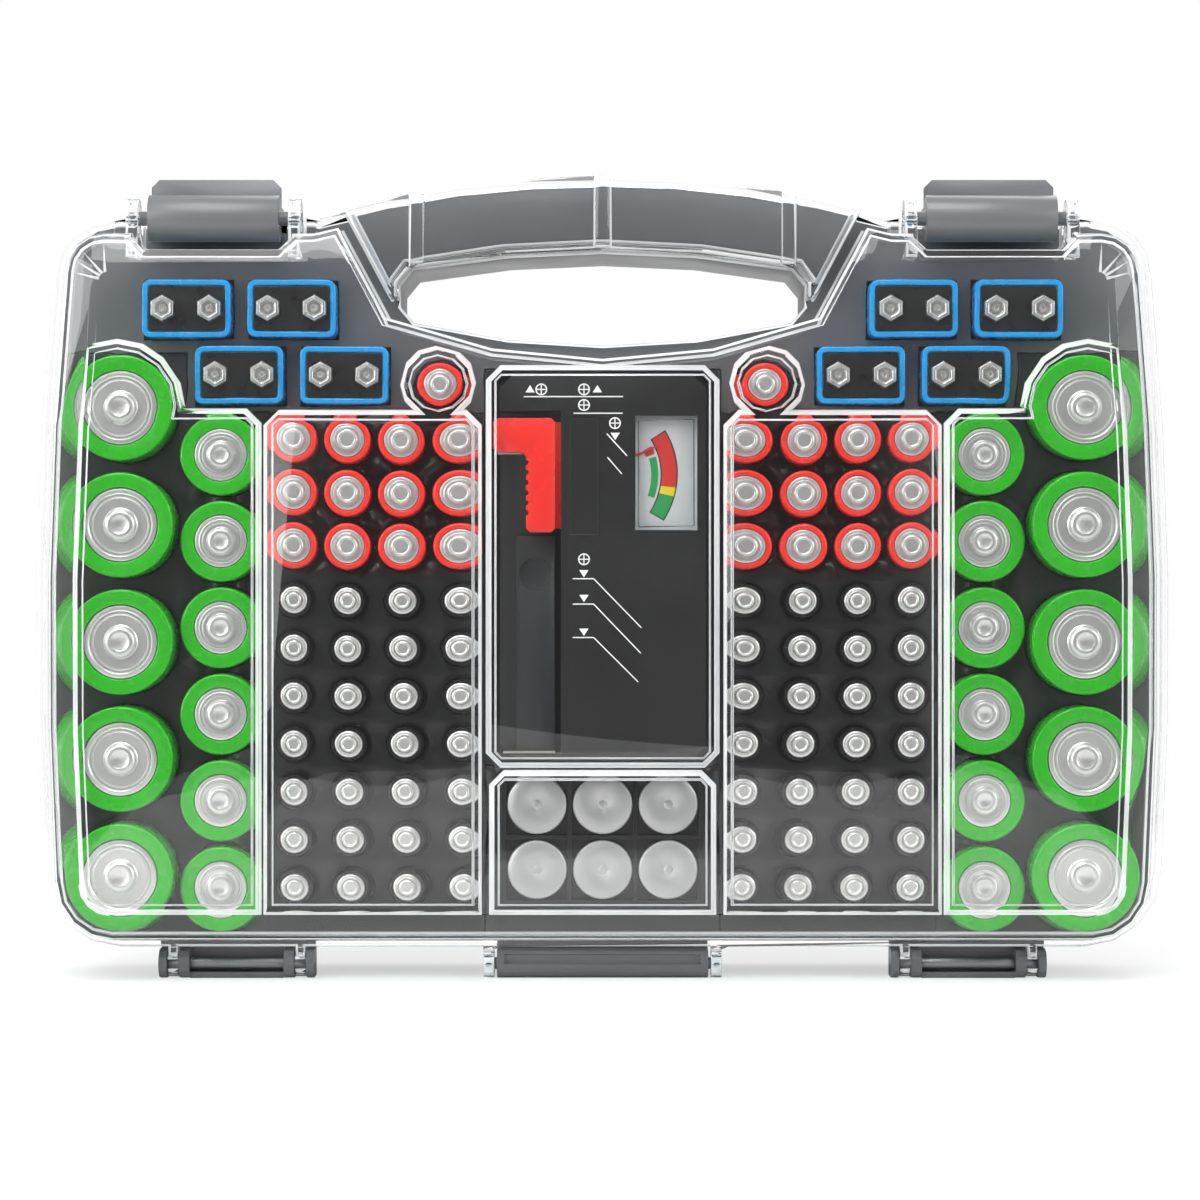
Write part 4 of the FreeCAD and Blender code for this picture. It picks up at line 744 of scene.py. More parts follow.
def ringed(rings: Sequence[Ring], sides: int) -> bpy.types.Object:
    """Turns an open ring about Y: the last ring of the profile is bridged back to the first.

    Args:
        rings: radius and depth of each ring in millimetres, in order round the section.
        sides: how many sides a ring has.

    Returns:
        The ring, round the Y axis.
    """
    clear_selection()
    radius, depth = rings[0]
    bpy.ops.mesh.primitive_circle_add(
        vertices=sides, radius=radius * MM, fill_type="NOTHING", location=(0, depth * MM, 0),
        rotation=(math.pi / 2, 0, 0),
    )
    piece = settle(bpy.context.object)
    bpy.ops.object.mode_set(mode="EDIT")
    bpy.ops.mesh.select_mode(type="EDGE")
    bpy.ops.mesh.select_all(action="SELECT")
    for wide, deep in list(rings[1:]) + [rings[0]]:
        bpy.ops.mesh.extrude_edges_move(TRANSFORM_OT_translate={"value": (0, (deep - depth) * MM, 0)})
        share = wide / radius
        if abs(share - 1) > 1e-6:
            bpy.ops.transform.resize(value=(share, 1, share), center_override=(0, deep * MM, 0))
        radius, depth = wide, deep
    bpy.ops.mesh.select_all(action="SELECT")
    bpy.ops.mesh.remove_doubles(threshold=1e-6)
    bpy.ops.mesh.normals_make_consistent(inside=False)
    bpy.ops.object.mode_set(mode="OBJECT")
    return piece


def plate(
    low: Sequence[float], high: Sequence[float], corner_mm: float = 0.0, cuts: int = 4
) -> bpy.types.Object:
    """Makes a plate between two corners, its four edges along Y rounded.

    Args:
        low: lowest corner in millimetres.
        high: highest corner in millimetres.
        corner_mm: radius of the rounded edges.
        cuts: steps in each rounded edge.

    Returns:
        The plate, with its place in its mesh.
    """
    clear_selection()
    middle = [(a + b) / 2 * MM for a, b in zip(low, high)]
    bpy.ops.mesh.primitive_cube_add(size=1, location=middle)
    piece = bpy.context.object
    piece.scale = [(b - a) * MM for a, b in zip(low, high)]
    settle(piece)
    if corner_mm:
        mesh = piece.data
        mesh.vertices.foreach_set("select", [False] * len(mesh.vertices))
        mesh.polygons.foreach_set("select", [False] * len(mesh.polygons))
        runs = [mesh.vertices[e.vertices[0]].co - mesh.vertices[e.vertices[1]].co for e in mesh.edges]
        mesh.edges.foreach_set("select", [abs(run.normalized().y) > 0.9 for run in runs])
        bpy.ops.object.mode_set(mode="EDIT")
        bpy.ops.mesh.select_mode(type="EDGE")
        bpy.ops.mesh.bevel(offset=corner_mm * MM, segments=cuts)
        bpy.ops.object.mode_set(mode="OBJECT")
    return piece


def copied(model: bpy.types.Object, places: Sequence[Vector]) -> bpy.types.Object:
    """Copies a model to each place, each copy with its own mesh, and joins the copies to one piece.

    Args:
        model: the piece modelled once; it is used up.
        places: shifts in metres.

    Returns:
        The joined piece.
    """
    clear_selection()
    made = []
    for shift in places:
        twin = model.copy()
        twin.data = model.data.copy()
        bpy.context.scene.collection.objects.link(twin)
        twin.location = shift
        made.append(twin)
    bpy.data.objects.remove(model)
    for twin in made:
        twin.select_set(True)
    bpy.context.view_layer.objects.active = made[0]
    bpy.ops.object.transform_apply(location=True, rotation=True, scale=True)
    return joined(made)


def joined(pieces: Sequence[bpy.types.Object]) -> bpy.types.Object:
    """Joins settled pieces to one.

    Args:
        pieces: the pieces, of which the first one takes in the others.

    Returns:
        The joined piece.
    """
    clear_selection()
    for piece in pieces:
        piece.select_set(True)
    bpy.context.view_layer.objects.active = pieces[0]
    if len(pieces) > 1:
        bpy.ops.object.join()
    return bpy.context.object


def smooth(piece: bpy.types.Object, angle: float = 35.0) -> bpy.types.Object:
    """Shades a piece smooth.

    Args:
        piece: the piece.
        angle: edges flatter than this many degrees are shaded across.

    Returns:
        The same piece.
    """
    pick(piece)
    bpy.ops.object.shade_smooth_by_angle(angle=math.radians(angle))
    return piece


def model_copy(node: str) -> bpy.types.Object:
    """Copies a CAD node's mesh to a new piece and merges its loose triangles.

    Args:
        node: the node's name.

    Returns:
        The new piece.
    """
    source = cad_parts[node]
    piece = bpy.data.objects.new(node + "_copy", source.data.copy())
    bpy.context.scene.collection.objects.link(piece)
    pick(piece)
    bpy.ops.object.mode_set(mode="EDIT")
    bpy.ops.mesh.select_all(action="SELECT")
    bpy.ops.mesh.remove_doubles(threshold=2e-6)
    bpy.ops.object.mode_set(mode="OBJECT")
    return piece


def shifts(spots: Iterable[Spot]) -> list[Vector]:
    """Spots in millimetres as shifts in metres."""
    return [Vector((x * MM, 0, z * MM)) for x, z in spots]


# ---------------------------------------------------------------- cells


@dataclass
class RoundCells:
    """One size of round cell: a shrink film sleeve rolled over a drawn steel end with its raised nub."""

    name: str
    node: str
    film: str
    slot: str
    radius: float
    back: float
    front: float
    places: list[Spot]
    steel: list[Ring]
    lip: float
    sides: int = 40

    def sleeve(self) -> bpy.types.Object:
        """The sleeve as a tube with a rolled front edge and a bare steel bottom at its back.

        Returns:
            One sleeve round the Y axis.
        """
        front, back = self.front, self.back
        rings = [
            (self.radius - 0.9, back),
            (self.radius - 0.25, back),
            (self.radius, back - 0.5),
            (self.radius, front + 0.9),
            (self.radius - 0.12, front + 0.35),
            (self.radius - 0.5, front + 0.04),
            (self.radius - 0.9, front),
            (self.lip + 0.45, front),
            (self.lip + 0.1, front + 0.15),
            (self.lip, front + 0.5),
            (self.lip, front + 1.6),
            (self.radius - 0.9, front + 1.9),
        ]
        return smooth(ringed(rings, self.sides), 50)

    def can(self) -> bpy.types.Object:
        """The steel can with its stepped end and nub.

        Returns:
            One can round the Y axis.
        """
        rings = [(self.radius * 0.45, self.back - 0.5), (self.radius * 0.62, self.back - 0.1),
                 (self.radius - 1.0, self.back - 0.1), (self.radius - 1.0, self.front + 2.2)]
        rings += [(r, self.front + depth) for r, depth in self.steel]
        return smooth(turned(rings, self.sides), 32)

    def build(self, finishes: Finishes) -> None:
        """Builds, copies and dresses the cells.

        Args:
            finishes: the finishes of the case.
        """
        spots = shifts(self.places)
        sleeves = dress(copied(self.sleeve(), spots), finishes.get(self.film))
        register(sleeves, self.name + "_sleeves", "tray", [self.node])
        cans = dress(copied(self.can(), spots), finishes.get("nickel"))
        register(cans, self.name + "_steel_ends", "tray", [self.node])


def mirrored(spots: Sequence[Spot]) -> list[Spot]:
    """Spots given for the right half, and their images on the left."""
    return [(side.value * x, z) for side in Sides for x, z in spots]


@dataclass
class CellStock:
    """Where every cell stands, and the profiles of their ends."""

    columns: tuple[float, ...] = (45.1, 61.65, 78.2, 94.75)
    d_x: float = 147.65
    c_x: float = 117.35
    spare: Spot = (50.052, 183.3)

    def kinds(self) -> list[RoundCells]:
        """The four sizes of round cell.

        Returns:
            Each size with its places and the profile of its end.
        """
        d_rows = [32.7 + 35.9 * n for n in range(5)]
        c_rows = [29.0 + 26.6 * n for n in range(6)]
        aa_rows = [134.1, 150.5, 166.9]
        aaa_rows = [28.5 + 14.8 * n for n in range(7)]
        # Each end from its rim inwards: a groove under the film, a raised step, the flat and the nub.
        d_steel = [
            (11.45, 0.9), (11.1, 0.4), (10.7, 0.28), (9.9, 0.3), (9.55, 0.55), (9.3, 0.85), (9.05, 0.6),
            (8.7, 0.6), (8.5, 1.0), (8.2, 1.25), (5.3, 1.3), (5.0, 1.1), (4.85, 0.4), (4.75, -0.7),
            (4.45, -1.15), (3.9, -1.42), (3.2, -1.5), (2.75, -1.42), (2.5, -1.28),
        ]
        c_steel = [
            (8.15, 0.9), (7.9, 0.42), (7.5, 0.3), (6.9, 0.32), (6.6, 0.6), (6.4, 0.85), (6.2, 0.6),
            (5.9, 0.6), (5.7, 1.0), (5.45, 1.2), (4.5, 1.25), (4.3, 1.0), (4.15, 0.2), (4.05, -0.8),
            (3.75, -1.25), (3.2, -1.46), (2.6, -1.5), (2.2, -1.42), (2.0, -1.3),
        ]
        aa_steel = [
            (5.35, 0.8), (5.15, 0.3), (4.8, 0.18), (4.3, 0.2), (4.05, 0.5), (3.85, 0.75), (3.55, 0.78),
            (3.4, 0.4), (3.32, -0.5), (3.1, -0.95), (2.8, -1.17), (2.45, -1.2), (2.25, -1.12), (2.1, -1.0),
        ]
        aaa_steel = [
            (4.75, 1.4), (4.6, 0.8), (4.25, 0.3), (3.7, 0.02), (3.25, 0.0), (3.0, 0.25), (2.75, 0.4),
            (2.6, 0.1), (2.5, -0.5), (2.3, -0.82), (2.0, -0.98), (1.75, -1.0), (1.6, -0.92), (1.5, -0.85),
        ]
        rows = [(x, z) for z in aa_rows for x in self.columns] + [self.spare]
        return [
            RoundCells("d_cell", "d_cells", "green", "jacket_green", 16.2, 32.9, -27.1,
                       mirrored([(self.d_x, z) for z in d_rows]), d_steel, 11.5, 56),
            RoundCells("c_cell", "c_cells", "green", "jacket_green", 12.5, 25.8, -22.7,
                       mirrored([(self.c_x, z) for z in c_rows]), c_steel, 8.2, 48),
            RoundCells("aa_cell", "aa_cells", "red", "jacket_red", 7.2, 28.8, -20.5,
                       mirrored(rows), aa_steel, 5.4, 36),
            RoundCells("aaa_cell", "aaa_cells", "ebony", "jacket_black", 5.2, 24.8, -18.7,
                       mirrored([(x, z) for z in aaa_rows for x in self.columns]), aaa_steel, 4.7, 32),
        ]

    def build(self, finishes: Finishes) -> None:
        """Builds all round cells."""
        for kind in self.kinds():
            kind.build(finishes)


@dataclass
class NineVoltCells:
    """Block cells: a blue film with a rolled edge round a black end cap, and two terminals."""

    width: float = 27.3
    height: float = 17.5
    corner: float = 2.4
    front: float = -19.2
    back: float = 27.2
    pitch: float = 14.4
    rim: float = 1.75
    rim_depth: float = 1.1
    places: tuple[Spot, ...] = ((79.65, 186.65), (112.05, 186.65), (95.9, 206.85), (128.3, 206.85))

    def film(self) -> bpy.types.Object:
        """The film: a rounded block whose front is drawn in to a rim.

        Returns:
            One film at the origin.
        """
        half_w, half_h = self.width / 2, self.height / 2
        piece = plate((-half_w, self.front, -half_h), (half_w, self.back, half_h), self.corner, 3)
        select_faces(piece, lambda face: face.normal.y < -0.9)
        bpy.ops.object.mode_set(mode="EDIT")
        bpy.ops.mesh.select_mode(type="FACE")
        bpy.ops.mesh.inset(thickness=self.rim * MM)
        bpy.ops.mesh.extrude_region_move(TRANSFORM_OT_translate={"value": (0, self.rim_depth * MM, 0)})
        bpy.ops.object.mode_set(mode="OBJECT")
        soften(piece, 0.6, 3, 40)
        return piece

    def end_cap(self) -> bpy.types.Object:
        """The black cap that sits inside the rim of the film.

        Returns:
            One cap at the origin.
        """
        half_w, half_h = self.width / 2 - self.rim - 0.1, self.height / 2 - self.rim - 0.1
        piece = plate((-half_w, self.front + 0.25, -half_h), (half_w, self.front + 1.0, half_h), 1.3, 3)
        soften(piece, 0.3, 2, 40)
        return piece

    def socket(self) -> bpy.types.Object:
        """The hexagonal terminal with a flared crown and a hollow centre.

        Returns:
            One terminal round the Y axis.
        """
        rings = [
            (4.15, 0.6), (4.15, -2.0), (3.85, -2.6), (3.0, -2.78), (2.6, -2.6), (2.35, -1.4), (1.5, -1.3),
        ]
        piece = turned([(r, self.front + y) for r, y in rings], 6)
        soften(piece, 0.16, 2, 25)
        return piece

    def stud(self) -> bpy.types.Object:
        """The round stud inside a terminal."""
        rings = [(1.5, -1.0), (1.45, -1.9), (1.2, -2.2), (0.75, -2.25), (0.6, -2.0)]
        return smooth(turned([(r, self.front + y) for r, y in rings], 20), 40)

    def build(self, finishes: Finishes) -> None:
        """Builds, copies and dresses the block cells.

        Args:
            finishes: the finishes of the case.
        """
        spots = shifts(mirrored(self.places))
        ends = [spot + Vector((hand * self.pitch / 2 * MM, 0, 0)) for spot in spots for hand in (-1, 1)]
        film = dress(copied(self.film(), spots), finishes.get("blue"))
        register(film, "nine_volt_film", "tray", ["nine_volt_cells"])
        cap = dress(copied(self.end_cap(), spots), finishes.get("cap"))
        register(cap, "nine_volt_end_caps", "tray", ["nine_volt_cells"])
        terminals = joined([copied(self.socket(), ends), copied(self.stud(), ends)])
        dress(terminals, finishes.get("stud"))
        register(terminals, "nine_volt_terminals", "tray", ["nine_volt_cells"])


@dataclass
class ButtonCells:
    """Flat round cells: a brushed can with an eased rim and a small stamped ring at its centre."""

    radius: float = 9.3
    front: float = -10.8
    back: float = -7.6
    columns: tuple[float, ...] = (-20.4, 0.0, 20.4)
    rows: tuple[float, ...] = (33.4, 53.8)

    def build(self, finishes: Finishes) -> None:
        """Builds, copies and dresses the button cells.

        Args:
            finishes: the finishes of the case.
        """
        front, back = self.front, self.back
        rings = [
            (8.2, back), (8.9, back - 0.2), (self.radius, back - 0.7), (self.radius, front + 0.55),
            (9.12, front + 0.2), (8.75, front), (1.75, front), (1.6, front + 0.12), (1.35, front + 0.12),
            (1.2, front), (0.5, front),
        ]
        model = smooth(turned(rings, 56), 40)
        places = [(x, z) for z in self.rows for x in self.columns]
        cans = dress(copied(model, shifts(places)), finishes.get("coin"))
        register(cans, "button_cell_cans", "tray", ["button_cells"])


# ---------------------------------------------------------------- decks


@dataclass
class WellMouths:
    """Round moulded collars that line the mouths of the wells in a deck: partly a moulded rim, partly a
    painted shade ring for the dark gap round each cell.
    """

    deck: float = -10.2
    play: float = 0.3
    reach: float = 2.0

    def collar(self, inner: float, outer: float, deep: float) -> bpy.types.Object:
        """One collar with an eased mouth, sunk into the deck.

        Args:
            inner: its inner radius.
            outer: its outer radius.
            deep: how far it reaches into the deck.

        Returns:
            The collar round the Y axis.
        """
        rings = [
            (inner, self.deck + deep), (inner, self.deck + 0.35), (inner + 0.3, self.deck - 0.02),
            (outer - 0.2, self.deck - 0.12), (outer, self.deck + 0.1), (outer, self.deck + deep),
        ]
        return smooth(ringed(rings, 40), 40)

    def build(self, finishes: Finishes, stock: CellStock) -> None:
        """Builds the collars of each kind of well.

        Args:
            finishes: the finishes of the case.
            stock: the cells that stand in the wells.
        """
        # Each extra width sets how wide the dark ring round a cell shows. Part of that width is painted shade
        # of the gap round the cell.
        extra = {"d_cell": 0.45, "c_cell": 0.4, "aa_cell": 0.6, "aaa_cell": 0.98}
        for kind in stock.kinds():
            inner = kind.radius + self.play
            model = self.collar(inner, inner + extra[kind.name], self.reach)
            large = kind.name in ("d_cell", "c_cell")
            # Painted shade: the collars take the dark deck finishes.
            finish = finishes.get("painted_shade_charcoal" if large else "black")
            mouths = dress(copied(model, shifts(kind.places)), finish)
            register(mouths, kind.name + "_well_mouths", "tray")


@dataclass
class KeptNodes:
    """CAD nodes that keep their shape: their edges are eased and they get their finish."""

    finish: dict[str, tuple[str, float]] = field(
        default_factory=lambda: {
            "tray_shell": ("tray", 0.45),
            # Painted shade: the decks, the tester bay and the button cell tray take the dark charcoal and
            # black finishes, which stand for the shade in these recesses.
            "large_cell_deck_left": ("painted_shade_charcoal", 0.25),
            "large_cell_deck_right": ("painted_shade_charcoal", 0.25),
            "small_cell_deck_left": ("black", 0.2),
            "small_cell_deck_right": ("black", 0.2),
            "tester_bay": ("black", 0.4),
            "button_cell_tray": ("black", 0.3),
            "hinge_pin_left": ("pin", 0.3),
            "hinge_pin_right": ("pin", 0.3),
            "latch_left": ("latch", 0.45),
            "latch_right": ("latch", 0.45),
            "tester_front": ("tester", 0.5),
            "tester_back": ("tester", 0.5),
            "tester_rail": ("rail", 0.25),
            "tester_base_contact": ("strip", 0.08),
            "meter_window": ("window", 0.3),
            "meter_dial": ("dial", 0.1),
            "meter_movement": ("block", 0.3),
            "load_resistor": ("resistor", 0.4),
            "tester_screws": ("nickel", 0.12),
            "tester_arm": ("arm", 0.4),
            "arm_contact": ("strip", 0.08),
            "meter_needle": ("needle", 0.06),
        }
    )

    def build(self, finishes: Finishes) -> None:
        """Eases and dresses each kept node.

        Args:
            finishes: the finishes of the case.
        """
        for node, (finish, width) in self.finish.items():
            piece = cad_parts[node]
            dress(piece, finishes.get(finish))
            soften(piece, width, 2, 28, apply=False)
            log.info("%s keeps its shape", node)


# ---------------------------------------------------------------- lid


@dataclass
class ClearLid:
    """The clear lid: its long edges are rounded, and the narrow faces of the rounding carry a painted
    highlight.
    """

    edge: float = 0.85
    steps: int = 3
    shortest: float = 2.2
    sharpest: float = 28.0
    inner_faces: tuple[float, ...] = (34.3, 32.3)
    inner_share: float = 0.35
    parting: float = -9.0
    slant: tuple[float, float] = (0.12, 0.985)
    narrow: float = 0.62

    def weigh_edges(self, piece: bpy.types.Object) -> int:
        """Marks the edges to be rounded: long, sharp and in front of the parting plane.

        Args:
            piece: the lid, in object mode.

        Returns:
            How many edges are marked.
        """
        mesh = piece.data
        sides: dict[int, list[Vector]] = {}
        for face in mesh.polygons:
            for loop in face.loop_indices:
                sides.setdefault(mesh.loops[loop].edge_index, []).append(face.normal)
        weights = [0.0] * len(mesh.edges)
        for edge in mesh.edges:
            ends = [mesh.vertices[v].co for v in edge.vertices]
            facing = sides.get(edge.index, [])
            if len(facing) != 2 or (ends[0] - ends[1]).length < self.shortest * MM:
                continue
            flat = max(abs(normal.y) for normal in facing) > 0.5
            sharp = math.degrees(facing[0].angle(facing[1], 0)) > self.sharpest
            if flat and sharp and ends[0].y < self.parting * MM:
                deep = min(abs(ends[0].y + inner * MM) for inner in self.inner_faces) < 0.05 * MM
                weights[edge.index] = self.inner_share if deep else 1.0
        mesh.attributes.new("bevel_weight_edge", "FLOAT", "EDGE").data.foreach_set("value", weights)
        return sum(w > 0 for w in weights)

    def paint_edge_highlights(self, piece: bpy.types.Object) -> int:
        """Gives the narrow faces of the rounding the second material, the painted edge highlight.

        Args:
            piece: the rounded lid with both materials.

        Returns:
            How many faces get the painted highlight.
        """
        lit = 0
        mesh = piece.data
        for face in mesh.polygons:
            spots = [mesh.vertices[v].co for v in face.vertices]
            longest = max((spots[k] - spots[k - 1]).length for k in range(len(spots)))
            slanted = self.slant[0] < abs(face.normal.y) < self.slant[1]
            if slanted and face.area / longest < self.narrow * self.edge * MM:
                face.material_index = 1
                lit += 1
        return lit

    def build(self, finishes: Finishes) -> None:
        """Builds and dresses the lid.

        Args:
            finishes: the finishes of the case.
        """
        piece = model_copy("lid_shell")
        dress(piece, finishes.get("clear")).data.materials.append(finishes.get("painted_edge_highlight"))
        marked = self.weigh_edges(piece)
        bevel = piece.modifiers.new("edge", "BEVEL")
        bevel.width = self.edge * MM
        bevel.segments = self.steps
        bevel.limit_method = "WEIGHT"
        bevel.use_clamp_overlap = False
        pick(piece)
        bpy.ops.object.modifier_apply(modifier="edge")
        smooth(piece, 32)
        log.info("lid: %d edges rounded, %d faces lit", marked, self.paint_edge_highlights(piece))
        register(piece, "lid_moulding", "lid", ["lid_shell"])


# ---------------------------------------------------------------- tester


def pixel(x: float, z: float, scale: float) -> Spot:
    """Turns pixels from the left and top, at a scale in millimetres to a pixel, to X and Z in millimetres."""
    return -0.8 + (x - 600) * scale, 117.4 + (600 - z) * scale


@dataclass
class TesterSigns:
    """Signs printed on the face of the tester: polarity marks, pointers and the lines that they start."""

    face: float = -29.0
    thick: float = 0.06
    scale: float = 0.3057
    width: float = 0.34
    stroke: float = 0.36
    arm: float = 1.5
    ring: tuple[float, float] = (1.42, 1.82)
    tip: float = 1.65
    pluses: tuple[Spot, ...] = ((541.4, 389.6), (584, 389.6), (584, 405.2), (614.9, 423.3), (584, 559.3))
    up: tuple[Spot, ...] = ((530.2, 390.2), (597.3, 390.2))
    down: tuple[Spot, ...] = ((615.1, 435.4), (584, 572.5), (584, 597.2), (584, 630.9))
    lines: tuple[tuple[float, float, float, float], ...] = (
        (523.8, 396.8, 622.8, 396.8), (573.5, 413.4, 622.8, 413.4), (606.7, 433.8, 626.9, 456.0),
        (607.5, 457.5, 621.8, 474.1), (572.8, 578.7, 593.9, 578.7), (593.7, 578.7, 641.2, 627.7),
        (572.8, 604.0, 593.9, 604.0), (593.7, 604.0, 640.7, 653.2), (572.8, 637.4, 593.9, 637.4),
        (593.7, 637.4, 638.1, 681.8),
    )

    def line(self, start: Spot, end: Spot, width: float) -> bpy.types.Object:
        """One printed line with rounded ends.

        Args:
            start: its first end in millimetres.
            end: its other end.
            width: its width.

        Returns:
            The line on the face of the tester.
        """
        half = Vector((math.dist(start, end), self.thick, width)) / 2
        mark = plate(-half, half, width * 0.3, 2)
        mark.rotation_euler = (0, -math.atan2(end[1] - start[1], end[0] - start[0]), 0)
        middle = ((start[0] + end[0]) / 2, self.face - self.thick / 2 + 0.01, (start[1] + end[1]) / 2)
        mark.location = [v * MM for v in middle]
        return settle(mark)

    def plus(self, spot: Spot) -> bpy.types.Object:
        """A plus in a ring.

        Args:
            spot: its middle in millimetres.

        Returns:
            The sign on the face of the tester.
        """
        x, z = spot
        front, back = self.face - self.thick, self.face + 0.02
        inner, outer = self.ring
        ring = ringed([(inner, back), (inner, front), (outer, front), (outer, back)], 32)
        ring.location = (x * MM, 0, z * MM)
        across = self.line((x - self.arm, z), (x + self.arm, z), self.stroke)
        upright = self.line((x, z - self.arm), (x, z + self.arm), self.stroke)
        return joined([settle(ring), across, upright])

    def pointer(self, spot: Spot, way: int) -> bpy.types.Object:
        """A flat triangle that points up or down.

        Args:
            spot: its middle in millimetres.
            way: 1 for up, -1 for down.

        Returns:
            The sign on the face of the tester.
        """
        clear_selection()
        place = (spot[0] * MM, self.face * MM, spot[1] * MM)
        tilt = (math.pi / 2, math.pi if way < 0 else 0, 0)
        bpy.ops.mesh.primitive_circle_add(
            vertices=3, radius=self.tip * MM, fill_type="NGON", location=place, rotation=tilt
        )
        mark = settle(bpy.context.object)
        bpy.ops.object.mode_set(mode="EDIT")
        bpy.ops.mesh.select_all(action="SELECT")
        bpy.ops.mesh.extrude_region_move(TRANSFORM_OT_translate={"value": (0, -self.thick * MM, 0)})
        bpy.ops.mesh.select_all(action="SELECT")
        bpy.ops.transform.resize(value=(1, 1, 0.9), center_override=place)
        bpy.ops.mesh.normals_make_consistent(inside=False)
        bpy.ops.object.mode_set(mode="OBJECT")
        return mark

    def build(self, finishes: Finishes) -> None:
        """Builds and dresses the signs.

        Args:
            finishes: the finishes of the case.
        """
        marks = [self.plus(pixel(*spot, self.scale)) for spot in self.pluses]
        marks += [self.pointer(pixel(*spot, self.scale), 1) for spot in self.up]
        marks += [self.pointer(pixel(*spot, self.scale), -1) for spot in self.down]
        for a, b, c, d in self.lines:
            marks.append(self.line(pixel(a, b, self.scale), pixel(c, d, self.scale), self.width))
        signs = dress(joined(marks), finishes.get("white_ink"))
        register(signs, "tester_printed_signs", "tray")


@dataclass
class TesterSlot:
    """The panel in the middle of the tester's face, with the small tab below it."""

    face: float = -29.0
    rise: float = 0.35
    frame_width: float = 0.5
    sink: float = 0.25
    panel: tuple[Spot, Spot] = ((-10.4, 136.9), (-1.05, 172.9))
    tab: tuple[Spot, Spot] = ((-8.3, 134.7), (-2.7, 137.0))

    def build(self, finishes: Finishes) -> None:
        """Builds and dresses the panel and its tab.

        Args:
            finishes: the finishes of the case.
        """
        front, back = self.face - self.rise, self.face + 0.2
        (left, low), (right, high) = self.panel
        panel = plate((left, front, low), (right, back, high), 0.6, 3)
        select_faces(panel, lambda side: side.normal.y < -0.9)
        bpy.ops.object.mode_set(mode="EDIT")
        bpy.ops.mesh.select_mode(type="FACE")
        bpy.ops.mesh.inset(thickness=self.frame_width * MM)
        bpy.ops.mesh.extrude_region_move(TRANSFORM_OT_translate={"value": (0, self.sink * MM, 0)})
        bpy.ops.object.mode_set(mode="OBJECT")
        (left, low), (right, high) = self.tab
        tab = plate((left, front + 0.1, low), (right, back, high), 0.5, 3)
        both = joined([panel, tab])
        soften(both, 0.12, 2, 35)
        register(dress(both, finishes.get("tester")), "tester_slot_panel", "tray")


@dataclass
class DialBands:
    """Coloured bands printed on the dial, turned about the needle's pivot.

    Each band has its ink, inner and outer radius, lowest and highest angle in degrees, and thickness.
    """

    pivot: Spot = (-3.0, 156.15)
    dial: float = -24.6
    steps: int = 18
    bands: tuple[tuple[str, float, float, float, float, float], ...] = (
        ("black_ink", 20.75, 25.95, -33.6, 30.8, 0.03),
        ("red_ink", 21.15, 25.55, -9.6, 29.9, 0.06),
        ("yellow_ink", 21.15, 25.55, -16.1, -9.9, 0.06),
        ("green_ink", 21.15, 25.55, -32.7, -16.4, 0.06),
        ("green_ink", 18.0, 20.15, -20.9, 15.6, 0.05),
        ("red_ink", 17.3, 20.1, 18.0, 25.3, 0.05),
    )

    def band(self, inner: float, outer: float, low: float, high: float, thick: float) -> bpy.types.Object:
        """One band: a short strip spun about the pivot between two angles.

        Args:
            inner: its inner radius.
            outer: its outer radius.
            low: its lowest angle in degrees.
            high: its highest angle in degrees.
            thick: how far it stands off the dial.

        Returns:
            The band in its place.
        """
        clear_selection()
        x, z = self.pivot
        middle = ((x + (inner + outer) / 2) * MM, (self.dial - thick / 2) * MM, z * MM)
        bpy.ops.mesh.primitive_plane_add(size=1, location=middle)
        strip = bpy.context.object
        strip.scale = ((outer - inner) * MM, thick * MM, 1)
        settle(strip)
        centre = (x * MM, 0, z * MM)
        bpy.ops.object.mode_set(mode="EDIT")
        bpy.ops.mesh.select_all(action="SELECT")
        bpy.ops.transform.rotate(value=math.radians(low), orient_axis="Y", center_override=centre)
        bpy.ops.mesh.spin(steps=self.steps, angle=math.radians(high - low), center=centre, axis=(0, 1, 0))
        bpy.ops.mesh.select_all(action="SELECT")
        bpy.ops.mesh.normals_make_consistent(inside=False)
        bpy.ops.object.mode_set(mode="OBJECT")
        return strip

    def build(self, finishes: Finishes) -> None:
        """Builds and dresses the bands.

        Args:
            finishes: the finishes of the case.
        """
        for number, (ink, inner, outer, low, high, thick) in enumerate(self.bands):
            band = dress(self.band(inner, outer, low, high, thick), finishes.get(ink))
            register(band, f"dial_band_{number}", "tray")


# ---------------------------------------------------------------- studio


